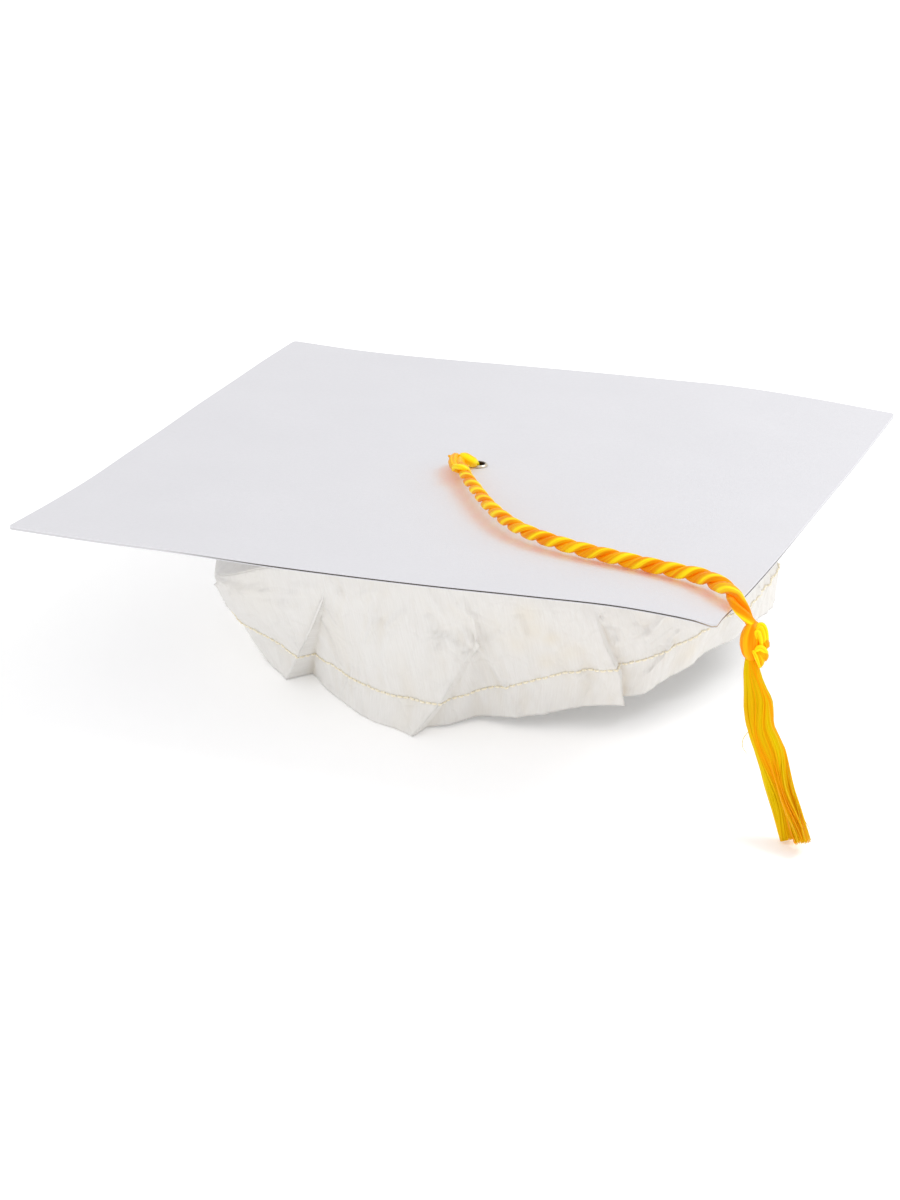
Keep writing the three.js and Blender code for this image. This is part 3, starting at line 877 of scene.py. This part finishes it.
# ---- eyelet ----
HOLLOW_RADIUS = 2.75  # inside it the metal is painted near black: painted shade in the bore
HOLLOW_FADE = 0.4
FLARE_DEPTH = 0.5
RING_SEGMENTS = 72


def swelled(value, power):
    """A sine or cosine pushed outward, which rounds a rectangle's corners."""
    return math.copysign(abs(value) ** power, value)


def make_eyelet():
    roll_middle = (FLANGE_RADIUS + BORE_RADIUS) / 2
    roll_half = (FLANGE_RADIUS - BORE_RADIUS) / 2
    low = WASHER_TOP - WASHER_THICKNESS
    roll = [
        (roll_middle + roll_half * math.cos(a), BOARD_TOP + FLANGE_HEIGHT * max(0.02, math.sin(a)))
        for a in np.linspace(0, math.pi, 13)
    ]
    flare = [
        (roll_middle + roll_half * math.cos(a), low + FLARE_DEPTH * math.sin(a))
        for a in np.linspace(-math.pi, 0, 9)
    ]
    shank = [*roll, *flare, (BARREL_RADIUS, low), (BARREL_RADIUS, BOARD_TOP)]
    vertices, faces = turned(shank, RING_SEGMENTS)
    ring = new_piece("eyelet_ring", vertices, [face[::-1] for face in faces], METAL)
    # Painted shade: how far a vertex lies inside the bore, where the metal is painted dark.
    inside = (HOLLOW_RADIUS - np.hypot(*vertices.T[:2])) / HOLLOW_FADE
    add_values(ring, "hollow_painted_dark", np.clip(inside, 0, 1))
    stand_in(ring, "cap", ["eyelet"])
    middle = (WASHER_RADIUS + EYELET_HOLE_RADIUS) / 2
    half = (WASHER_RADIUS - EYELET_HOLE_RADIUS) / 2
    round_edge = [
        (middle + half * swelled(math.cos(a), 0.3),
         low + WASHER_THICKNESS / 2 * (1 + swelled(math.sin(a), 0.5)))
        for a in np.linspace(0, 2 * math.pi, 24, endpoint=False)
    ]
    washer = new_piece("eyelet_washer_ring", *turned(round_edge, RING_SEGMENTS), METAL)
    stand_in(washer, "cap", ["eyelet_washer"])


# ---- crown ----
CLOTH_THICKNESS = 0.35
WALL_ROWS = 56
WALL_RADIUS = 90  # turns directions on the wall into lengths of its cloth
COLUMN_WIDTH = 0.85
BELLY = {"height": 5.5, "angle": -147, "width": 24}  # the left of the wall bellies out
# Lines down the side wall that its folds run along: direction at the hem and at the top in
# degrees, where the line starts to leave the wall as a share of its height, how far out it
# is at the hem, how far it laps sideways there, 1 if the cloth is creased along it, and how
# far the middle of the line sways round and swells out. What a line leaves out is 0.
FOLD_LINES = [
    (-158, -160, 0, 1.5), (-147, -149, 0, 1.5), (-138, -134, 0, 2, 0, 0, 1),
    (-131.5, -108.5, 0.22, 2.8, 0, 0, 1.5), (-129.3, -106.8, 0.15, 3.8, 0.4, 1, 0.8),
    (-128, -106.2, 0.15, -7, -2.2, 1, 1.2), (-121, -101, 0, -3.5, 0, 0, 2), (-113, -97, 0, 0),
    (-101, -88, 0.15, 8.5), (-93.5, -79, 0.3, 12), (-90.6, -77.2, 0.38, 14.6, 0.8, 1, -0.6),
    (-89.3, -76.4, 0.4, 5.5, 0, 1, -0.6), (-86, -75.8, 0.3, 2.4), (-79.5, -75.2, 0.2, -6.5),
    (-71.5, -73.6, 0, -2.6), (-65, -66, 0, -1.5), (-57, -58, 0, -1),
    (-51.6, -53.6, 0.06, 4.5, 0, 1, -1), (-49.6, -52.4, 0.06, 7.5, 0.4, 1, -1.3),
    (-48.2, -51.4, 0.06, 0.5, 0, 1, -1), (-44.6, -47, 0.1, 3.5), (-42.2, -43.4, 0.3, 3.2, 0, 1),
    (-38, -38, 0.3, 1.2), (-31, -31, 0.4, 0.8, 0, 1), (-24, -24, 0.4, -2),
    (-15, -15, 0.4, 0.5, 0, 1), (-8, -8, 0.3, 0, 0, 0, 0, -1), (0, 0, 0, 1.5, 0, 0, 0, -3),
    (8, 8, 0, 2.5, 0, 1, 0, -4), (15, 15, 0, 0.5, 0, 0, 0, -4), (22, 22, 0, 1.5, 0, 0, 0, -3),
]
GATHERS_FROM = 29
GATHERS_TO = 193
GATHER_STEP = 6.4
# Short creases: direction and wall share of both ends, height and width.
SHORT_CREASES = [
    (-77.4, 0.10, -76.3, 0.36, 0.8, 1.5), (-76.3, 0.36, -73.6, 0.71, 1.1, 1.5),
    (-73.6, 0.71, -71.0, 1.00, 0.9, 1.5), (-78.7, 0.28, -74.5, 0.67, 0.8, 1.3),
    (-93.6, 0.04, -97.8, 0.35, 0.9, 1.5), (-99.3, 0.17, -93.9, 0.10, 0.6, 1.5),
    (-105.2, 0.03, -103.6, 0.17, 0.8, 1.4), (-103.6, 0.17, -106.2, 0.27, 0.7, 1.6),
    (-83.8, 0.03, -82.0, 0.19, 0.8, 1.4), (-86.3, 0.38, -87.4, 0.58, 0.45, 1.2),
    (-94.6, 0.48, -96.2, 0.67, 0.45, 1.2), (-109, 0.14, -116, 0.24, 0.6, 1.8),
    (-43.2, 0.30, -43.6, 0.99, 0.7, 1.4), (-88, 0.12, -89.5, 0.30, 0.5, 1.5),
    (-62, 0.03, -60, 0.22, 0.6, 1.6), (-36, 0.20, -34, 0.55, 0.6, 1.8),
    (-58.6, 0.66, -58, 0.99, 0.5, 1.8), (-104, 0.74, -103.5, 0.99, 0.45, 1.6),
    (-84, 0.66, -85, 0.99, 0.6, 1.6), (-67.2, 0.74, -67.8, 0.99, 0.6, 1.6),
    (-140, 0.10, -128, 0.20, 0.7, 2.4), (-150, 0.06, -138, 0.09, 0.8, 2.0),
]
CRUSHED = 100
CREASE_SHADE_STRENGTH = 0.1  # painted shade beside a small crease of 1 mm
FOLD_DEPTH = 2.2  # depth in millimetres of a fold that has the full painted shade
FOLD_TINT = 0.55  # painted shade at most
# Faint yellowish spots: direction, share of the wall's height from the top, radius, strength.
SPOTS = [
    (-65.8, 0.16, 4, 0.20), (-65.5, 0.28, 5, 0.16), (-62.3, 0.36, 3, 0.22), (-69.0, 0.40, 4, 0.12),
    (-59.1, 0.49, 4, 0.14), (-64.2, 0.55, 3.5, 0.16), (-32.2, 0.85, 5, 0.18), (-108, 0.5, 8, 0.06),
    (60, 0.4, 6, 0.14), (120, 0.6, 7, 0.10), (170, 0.3, 5, 0.12),
]
# Height of the hem's stitches over the rim, by direction.
HEM_HEIGHTS = {
    -160: 17.5, -131: 17, -126: 14, -110: 12, -100: 11.4, -85: 11.4, -75: 12.6, -62: 15.8,
    -55: 15.4, -45: 14.6, -35: 13, -20: 12.4, 100: 12.0, 180: 13,
}


def turn_from(start, direction):
    """Degrees from one direction to another, between -180 and 180."""
    return (direction - start + 180) % 360 - 180


def rise_at(rise, direction):
    turn = turn_from(rise["angle"], direction)
    span = np.where(turn < 0, rise["before"], rise["after"])
    share = np.clip(np.abs(turn) / span, 0, 1)
    return rise["height"] * np.cos(share * math.pi / 2) ** 2


def hang(direction, radius, height):
    """A straight, centred crown point carried to its place, as the CAD model's is."""
    angle = np.radians(direction)
    x, y = radius * np.cos(angle), radius * np.sin(angle)
    outward = np.clip((radius - PANEL_FLAT) / (SHOULDER_RADIUS - PANEL_FLAT), 0, 1)
    below = np.clip((SHOULDER_HEIGHT - height) / (SHOULDER_HEIGHT - HEM), 0, 1)
    z = height + rise_at(RIM_RAISE, direction) * below
    lift = rise_at(SHOULDER_LIFT, direction) - rise_at(SHOULDER_SAG, direction)
    z = z + lift * outward * (1 - below)
    x = x + SHOULDER_SHIFT[0] * outward + (RIM_SHIFT[0] + RIM_STRETCH * x) * below
    y = y + SHOULDER_SHIFT[1] * outward + RIM_SHIFT[1] * below
    return np.stack([x, y, z], axis=-1)


def wall_radius(height):
    return RIM_RADIUS + (SHOULDER_RADIUS - RIM_RADIUS) * height / SHOULDER_HEIGHT


def fold_lines():
    """The front's fold lines, and the even small gathers that the elastic makes behind."""
    rng = np.random.default_rng(5)
    lines = [(*line, *[0] * (8 - len(line))) for line in FOLD_LINES]
    directions = np.arange(GATHERS_FROM, GATHERS_TO, GATHER_STEP)
    for k, direction in enumerate(directions):
        crest = k % 2 == 0
        out = rng.uniform(2.0, 4.6) if crest else -rng.uniform(1.0, 3.2)
        at = direction + rng.uniform(-1.5, 1.5)
        start = rng.uniform(0.15, 0.6)
        lines.append((at, direction, start, out, 0, crest and rng.random() < 0.6, 0, 0))
    return sorted(lines)


def hermite(values, sizes, creased, segment, fraction):
    """Smooth closed curves through each row's values, with corners at the creases."""
    rise = (np.roll(values, -1, axis=1) - values) / sizes
    before = np.roll(rise, 1, axis=1)
    weight = np.roll(sizes, 1) / (sizes + np.roll(sizes, 1))
    blended = before * (1 - weight) + rise * weight
    leaving = np.where(creased, rise, blended)
    arriving = np.roll(np.where(creased, before, blended), -1, axis=1)
    size = sizes[segment]
    t = fraction
    first, second = values[:, segment], np.roll(values, -1, axis=1)[:, segment]
    return (
        first * (2 * t**3 - 3 * t**2 + 1)
        + leaving[:, segment] * size * (t**3 - 2 * t**2 + t)
        + second * (3 * t**2 - 2 * t**3)
        + arriving[:, segment] * size * (t**3 - t**2)
    )


def folded_wall():
    """Direction and outward shift of each point of the side wall, row by row from the
    shoulder to the rim, with the share of the wall's height of each row."""
    hem, top, start, out, lap, creased, sway, swell = (
        np.array(v, float) for v in zip(*fold_lines())
    )
    share = np.linspace(0, 1, WALL_ROWS)[:, None]
    grown = np.clip((share - start) / (1 - start), 0, 1)
    middle = 4 * grown * (1 - grown)
    directions = top + (hem - top + np.degrees(lap / RIM_RADIUS)) * grown + sway * middle
    outs = out * grown + swell * middle
    closing = np.roll(hem, -1) - hem
    closing[-1] += 360
    drop = np.roll(out, -1) - out
    lengths = np.hypot(np.radians(closing) * RIM_RADIUS, drop)
    columns = np.maximum((lengths / COLUMN_WIDTH).astype(int), 4)
    segment = np.repeat(np.arange(len(columns)), columns)
    fraction = np.concatenate([np.arange(n) / n for n in columns])
    sizes = columns.astype(float)
    wide = np.concatenate([directions, directions[:, :1] + 360], axis=1)
    steady = np.cumsum(np.concatenate([[0], sizes]))
    line = (wide - wide[:, :1]) - (steady / steady[-1]) * 360
    turns = hermite(line[:, :-1], sizes, creased > 0, segment, fraction)
    even = (steady[:-1][segment] + fraction * sizes[segment]) / steady[-1] * 360
    turned_to = turns + even + wide[:, :1]
    return turned_to, hermite(outs, sizes, creased > 0, segment, fraction), share


def crushed_lines():
    """Small sharp creases of the thin cloth, most of them near the top of the wall."""
    rng = np.random.default_rng(23)
    creases = []
    for _ in range(CRUSHED):
        direction = rng.uniform(-160, 200)
        share = rng.uniform(0.02, 0.36) if rng.random() < 0.7 else rng.uniform(0.3, 0.7)
        length = rng.uniform(6, 14)
        slant = rng.uniform(-1.2, 1.2)
        turn = math.degrees(length * math.sin(slant) / WALL_RADIUS)
        fall = length * math.cos(slant) / SHOULDER_HEIGHT
        height, width = rng.uniform(0.5, 1.3), rng.uniform(1, 1.6)
        creases.append((direction, share, direction + turn, share + fall, height, width))
    return creases


def near_segment(direction, share, crease):
    """Distance in millimetres on the wall from a short crease."""
    from_direction, from_share, to_direction, to_share, _, _ = crease
    scale = np.array([math.radians(1) * WALL_RADIUS, SHOULDER_HEIGHT])
    start = np.array([from_direction, from_share]) * scale
    line = np.array([to_direction, to_share]) * scale - start
    x = turn_from(from_direction, direction) * scale[0]
    y = share * scale[1] - start[1]
    along = np.clip((x * line[0] + y * line[1]) / (line @ line), 0, 1)
    return np.hypot(x - along * line[0], y - along * line[1])


def noise_over(across, along, across_scale, along_scale, seed, offset=0.0):
    """Smooth noise over the flat cloth, with features of about the two scales."""
    pairs = zip(across.ravel(), along.ravel())
    values = [noise.noise((a / across_scale + offset, b / along_scale, seed)) for a, b in pairs]
    return np.array(values).reshape(across.shape)


def crumple(across, along):
    """Soft waves and sharper crushed lines of thin cloth, in millimetres."""
    wave = noise_over(across, along, 26, 34, 0.3)
    crush = 1 - 2.2 * abs(noise_over(across, along, 8, 15, 2.7, offset=7))
    fine = 1 - 2.2 * abs(noise_over(across, along, 4.1, 8, 9.1))
    return 1.2 * wave + 0.5 * crush + 0.24 * fine


def puckers(across, along):
    """Small upright gathers that the hem's stitches draw, strongest near them."""
    heights = noise_over(across, along, 3.4, 26, 5.5)
    heights = heights + 0.6 * noise_over(across, along, 1.7, 20, 1.5)
    near = np.exp(-(((along - (SHOULDER_HEIGHT - HEM)) / 9) ** 2))
    return heights * (0.12 + 0.55 * near)


def side_wall():
    """The outer face of the side wall as rows of points, and what the finish needs."""
    directions, outs, share = folded_wall()
    heights = SHOULDER_HEIGHT * (1 - share) + 0 * directions
    turn = turn_from(BELLY["angle"], directions)
    belly = BELLY["height"] * np.exp(-((turn / BELLY["width"]) ** 2))
    belly = belly * np.sin(math.pi * np.clip(share, 0, 1)) ** 0.9
    across = np.radians(directions) * WALL_RADIUS
    along = share * SHOULDER_HEIGHT + 0 * directions
    # The seam keeps the top of the wall smooth.
    rough = (crumple(across, along) + puckers(across, along)) * np.clip(share * 5, 0, 1)
    shift = outs + belly + rough
    painted_crease_shade = np.zeros(directions.shape)
    for crease in SHORT_CREASES + crushed_lines():
        height, width = crease[4:]
        ridge = np.clip(1 - near_segment(directions, share, crease) / width, 0, 1)
        shift = shift + height * ridge
        # Painted shade along one side of each crease.
        painted_crease_shade = np.maximum(painted_crease_shade, CREASE_SHADE_STRENGTH * height * np.roll(ridge, 1, axis=1) ** 2)
    angle = np.radians(directions)
    outward = np.stack([np.cos(angle), np.sin(angle), 0 * angle], axis=-1)
    wall = hang(directions, wall_radius(heights), heights) + outward * shift[..., None]
    wall[..., 2] = np.maximum(wall[..., 2], 0.0)
    return wall, directions, share, painted_crease_shade


def stitch_rows(directions):
    """For each column, the row of the wall that the hem's stitches run along."""
    at = directions[int(WALL_ROWS * 0.73)]  # a row near the stitches
    heights = np.interp(at, list(HEM_HEIGHTS), list(HEM_HEIGHTS.values()), period=360)
    return (1 - heights / SHOULDER_HEIGHT) * (WALL_ROWS - 1)


def between_rows(grid, rows):
    """One point of each column, at a row that need not be whole."""
    low = np.clip(rows.astype(int), 0, WALL_ROWS - 2)
    share = (rows - low)[:, None]
    columns = np.arange(grid.shape[1])
    return grid[low, columns] * (1 - share) + grid[low + 1, columns] * share


def surface_normals(grid):
    """Outward normals of rows of points that close round the crown."""
    down = np.gradient(grid, axis=0)
    around = np.roll(grid, -1, axis=1) - np.roll(grid, 1, axis=1)
    return unit(np.cross(down, around))


def softened(values, passes):
    for _ in range(passes):
        values = (np.roll(values, 1, axis=1) + 2 * values + np.roll(values, -1, axis=1)) / 4
    return values


def spots_on(directions, share):
    stain = np.zeros(directions.shape)
    for direction, at, radius, strength in SPOTS:
        across = np.radians(turn_from(direction, directions)) * WALL_RADIUS
        away = np.hypot(across, (share - at) * SHOULDER_HEIGHT)
        stain = np.maximum(stain, strength * np.exp(-((away / radius) ** 2)))
    return stain


def crease_shade(wall):
    """How sharply the wall turns inward round the crown, to paint shade into the bottoms of folds.
    """
    middle = (np.roll(wall, 3, axis=1) + np.roll(wall, -3, axis=1)) / 2
    outward = unit(wall - wall.mean(axis=1, keepdims=True))
    hollow_painted_dark = np.sum((middle - wall) * outward, axis=-1)
    return np.clip(softened(hollow_painted_dark, 2) / FOLD_DEPTH, 0, FOLD_TINT)


SEAM_GAP = 0.14
HEM_ROWS = 18
HEM_EDGE_ROWS = 1.6  # how far the turned-up cloth reaches above its stitches
HEM_GAP = 1.1  # from the wall to the turned-up cloth at the rim
HEM_ROOM = 1.0  # and this much more above it, for the elastic
HEM_LIFTED = 0.3  # keeps the turned-up cloth off the floor


def make_side_band(wall, directions, share, painted_crease_shade, panel):
    """The strip of cloth: its turned-in top edge, the wall, and the hem turned up inside."""
    normals = surface_normals(wall)
    smooth_in = -unit(softened(normals, 10))
    allowance = panel[-4:-1] - UP * SEAM_GAP
    last = WALL_ROWS - 1
    folded = [wall[-1] + smooth_in[-1] * 0.5 + UP * 0.02]
    for climb in np.linspace(0, 1, HEM_ROWS):
        rows = last - (last - stitch_rows(directions) + HEM_EDGE_ROWS) * climb
        inward = between_rows(smooth_in, rows) * (HEM_GAP + HEM_ROOM * min(climb * 5, 1))
        folded.append(between_rows(wall, rows) + inward + UP * HEM_LIFTED)
    rows = np.array([*allowance, *wall, *folded])
    rows[..., 2] = np.maximum(rows[..., 2], 0.0)
    piece = new_piece(
        "crown_side_cloth", rows.reshape(-1, 3),
        grid_faces(len(rows), wall.shape[1], around=True, flip=True), CLOTH,
    )
    ahead, after = len(allowance), len(folded)
    wide = np.radians(directions) * WALL_RADIUS
    wide = np.concatenate([wide[:1].repeat(ahead, 0), wide, wide[-1:].repeat(after, 0)])
    deep = np.arange(len(rows))[:, None] * (SHOULDER_HEIGHT / WALL_ROWS) + 0 * wide
    add_cloth_map(piece, wide, deep)
    # The stains are the cloth's own; the rest is painted shade in folds and beside creases.
    stains_and_painted_shade = {"stain": spots_on(directions, share), "painted_fold_shade": crease_shade(wall) + painted_crease_shade}
    for name, values in stains_and_painted_shade.items():
        add_values(piece, name, np.pad(values, ((ahead, after), (0, 0)), mode="edge"))
    thicken(piece, CLOTH_THICKNESS)
    stand_in(piece, "cap", ["crown_side_band"])
    return np.array(folded), smooth_in


SETTLE_RADIUS = 80
PANEL_RADII = np.concatenate([
    np.linspace(EYELET_HOLE_RADIUS + 0.1, PANEL_FLAT, 12)[:-1],
    np.linspace(PANEL_FLAT, SHOULDER_RADIUS, 26),
])[:, None]


def panel_grid(wall, directions):
    """The underside of the crown's round top: held by the board's middle, slack outside it,
    and sewn to the top of the wall."""
    radii = PANEL_RADII
    edge = directions[:1]
    slope = (WASHER_TOP - SHOULDER_HEIGHT) / (SHOULDER_RADIUS - PANEL_FLAT)
    height = WASHER_TOP - slope * np.maximum(radii - PANEL_FLAT, 0)
    grid = hang(edge, radii + 0 * edge, height + 0.4)
    slack = np.clip((radii - PANEL_FLAT - 4) / 30, 0, 1)
    slack = slack * np.clip((SHOULDER_RADIUS - radii) / 6, 0, 1)
    waves = crumple(np.radians(edge) * 60 + 0 * radii, radii * 0.6 + 0 * edge)
    grid[..., 2] += (1.3 * waves - 0.8) * slack
    # Near the seam it settles on to the top of the wall.
    lift = wall[0] + UP * 0.12 - grid[-1]
    settle = np.clip((radii - SETTLE_RADIUS) / (SHOULDER_RADIUS - SETTLE_RADIUS), 0, 1)
    grid = grid + lift[None] * settle[..., None]
    ceiling = BOARD_BOTTOM + curl(grid[..., 0], grid[..., 1]) - CLOTH_THICKNESS - 0.05
    grid[..., 2] = np.minimum(grid[..., 2], ceiling)
    return grid


def make_top_panel(grid):
    rows, columns = grid.shape[:2]
    piece = new_piece(
        "crown_top_cloth", grid.reshape(-1, 3), grid_faces(rows, columns, around=True), CLOTH
    )
    add_cloth_map(piece, grid[..., 0], grid[..., 1])
    add_values(piece, "stain", np.zeros(grid.shape[:2]))
    add_values(piece, "painted_fold_shade", np.zeros(grid.shape[:2]))
    thicken(piece, CLOTH_THICKNESS)
    stand_in(piece, "cap", ["crown_top_panel"])


# ---- stitches and elastic ----
STITCH = 2.3
STITCH_GAP = 0.65
STITCH_ARCH = np.array([-0.25, 0.8, 1.0, 0.8, -0.25])[:, None]
HEM_LIFT = 0.32  # how far a stitch stands off the cloth
SEAM_LIFT = 0.3
STITCH_TILT = 0.14
THREAD_RADIUS = 0.38
THREAD_SIDES = 6


def stitch_line(path, outward, lift, closed=True):
    """Short thread loops along a seam, each dipping into the cloth at both ends."""
    if closed:
        path = np.vstack([path, path[:1]])
        outward = np.vstack([outward, outward[:1]])
    along = lengths_along(path)
    count = int(along[-1] / STITCH)
    rng = np.random.default_rng(17)
    parts = []
    for k in range(count):
        start = along[-1] * k / count + rng.uniform(-0.1, 0.1)
        at = start + np.linspace(0, STITCH - STITCH_GAP, 5)
        tilt = UP * np.linspace(-1, 1, 5)[:, None] * rng.uniform(-STITCH_TILT, STITCH_TILT)
        arch = at_lengths(at, along, outward) * (STITCH_ARCH * lift)
        line = at_lengths(at, along, path) + arch + tilt
        _, across, up = carried_frames(line)
        parts.append(swept(line, across, up, THREAD_RADIUS, THREAD_RADIUS, THREAD_SIDES))
    return joined(parts)


def thread_piece(name, parts, node):
    stand_in(new_piece(name, *joined(parts), THREAD), "cap", [node])


def make_stitches(wall, folded, smooth_in, directions, panel):
    hem_row = stitch_rows(directions)
    inward_there = between_rows(smooth_in, hem_row)
    outer = stitch_line(between_rows(wall, hem_row), -inward_there, HEM_LIFT)
    inner = stitch_line(folded[-3] + inward_there * CLOTH_THICKNESS, inward_there, HEM_LIFT)
    thread_piece("hem_stitches", [outer, inner], "hem_thread")
    seam = panel[-3] - UP * (SEAM_GAP + CLOTH_THICKNESS + 0.1)
    shoulder = stitch_line(seam, -UP + 0 * seam, SEAM_LIFT)
    thread_piece("shoulder_stitches", [shoulder], "shoulder_seam_thread")
    column = int(np.argmin(np.abs(turn_from(BACK, directions[WALL_ROWS // 2]))))
    rows = slice(4, int(hem_row[column]) - 1)
    inward = smooth_in[rows, column]
    down = wall[rows, column] + inward * (CLOTH_THICKNESS + 0.1)
    back = stitch_line(down, inward, SEAM_LIFT, closed=False)
    thread_piece("back_seam_stitches", [back], "back_seam_thread")


ELASTIC_HALF_ARC = 67.5
ELASTIC_HEIGHT = 2.2  # of its lower edge over the rim
ELASTIC_WIDTH = 8
ELASTIC_THICKNESS = 0.5
ELASTIC_INSIDE = 0.75  # from the wall's outer face to the elastic's middle


def make_elastic(wall, smooth_in, directions):
    """The flat knitted band inside the hem, round the back of the head."""
    turn = turn_from(BACK, directions[-1])
    inside = np.where(np.abs(turn) < ELASTIC_HALF_ARC)[0]
    inside = inside[np.argsort(turn[inside])]
    step = SHOULDER_HEIGHT / (WALL_ROWS - 1)
    rows = np.arange(
        int(ELASTIC_HEIGHT / step), int((ELASTIC_HEIGHT + ELASTIC_WIDTH) / step) + 1
    )[:, None]
    at = (WALL_ROWS - 1 - rows, inside)
    band = wall[at] + smooth_in[at] * ELASTIC_INSIDE
    piece = new_piece(
        "elastic_web", band.reshape(-1, 3), grid_faces(len(band), len(inside)), ELASTIC
    )
    across = np.radians(turn[inside])[None] * WALL_RADIUS
    add_cloth_map(piece, across + 0 * rows, rows * step + 0 * across)
    thicken(piece, ELASTIC_THICKNESS, offset=0.0)
    stand_in(piece, "cap", ["elastic_band"])


def make_crown():
    wall, directions, share, painted_crease_shade = side_wall()
    panel = panel_grid(wall, directions)
    make_top_panel(panel)
    folded, smooth_in = make_side_band(wall, directions, share, painted_crease_shade, panel)
    make_stitches(wall, folded, smooth_in, directions, panel)
    make_elastic(wall, smooth_in, directions)


# ---- stage ----
FLOOR_SIDE = 40000
FLOOR_DROP = 0.2  # keeps the rim's own faces clear of the floor
FLOOR_GLOW = 0.2
WORLD_LIGHT = 0.85
AIM = (0.02, 0, 0.05)  # what the lamps face, in metres as their places are


def make_stage():
    finish = Finish("floor", (0.97, 0.97, 0.97), 0.9)
    finish.color(finish.mixed(finish.grain(3), (0.965, 0.965, 0.965), (0.975, 0.975, 0.975)))
    # A little light of its own keeps the backdrop pale in the cap's shadow.
    finish.shader.inputs["Emission Color"].default_value = (1, 1, 1, 1)
    finish.shader.inputs["Emission Strength"].default_value = FLOOR_GLOW
    half = FLOOR_SIDE / 2
    floor = new_piece(
        "floor", [(-half, -half, 0), (half, -half, 0), (half, half, 0), (-half, half, 0)],
        [[0, 1, 2, 3]], finish.material,
    )
    floor.location.z = -FLOOR_DROP * MM
    world = bpy.data.worlds.new("studio")
    world.use_nodes = True
    background = world.node_tree.nodes["Background"]
    background.inputs["Color"].default_value = (1.0, 1.0, 1.0, 1)
    background.inputs["Strength"].default_value = WORLD_LIGHT
    bpy.context.scene.world = world
    bpy.context.scene.view_settings.view_transform = "Standard"


def softbox(name, place, size, power):
    """A square soft light that faces the cap."""
    data = bpy.data.lights.new(name, "AREA")
    data.size = size
    data.energy = power
    light = bpy.data.objects.new(name, data)
    light.location = place
    aim = Vector(AIM) - Vector(place)
    light.rotation_mode = "QUATERNION"
    light.rotation_quaternion = aim.to_track_quat("-Z", "Y")
    bpy.context.scene.collection.objects.link(light)


def make_lights():
    softbox("key_light", (0.75, 0.35, 1.05), 0.55, 6.5)
    softbox("front_fill", (-0.7, -1.45, 0.3), 1.1, 3.6)


make_camera()
tassel_cord, cord_path, cord_length = make_cord()
top_knot = make_top_knot()
make_stopper_knot()
tassel_knot = make_tassel_knot()
skirt = make_skirt()
make_board()
make_eyelet()
make_crown()
make_stage()
make_lights()
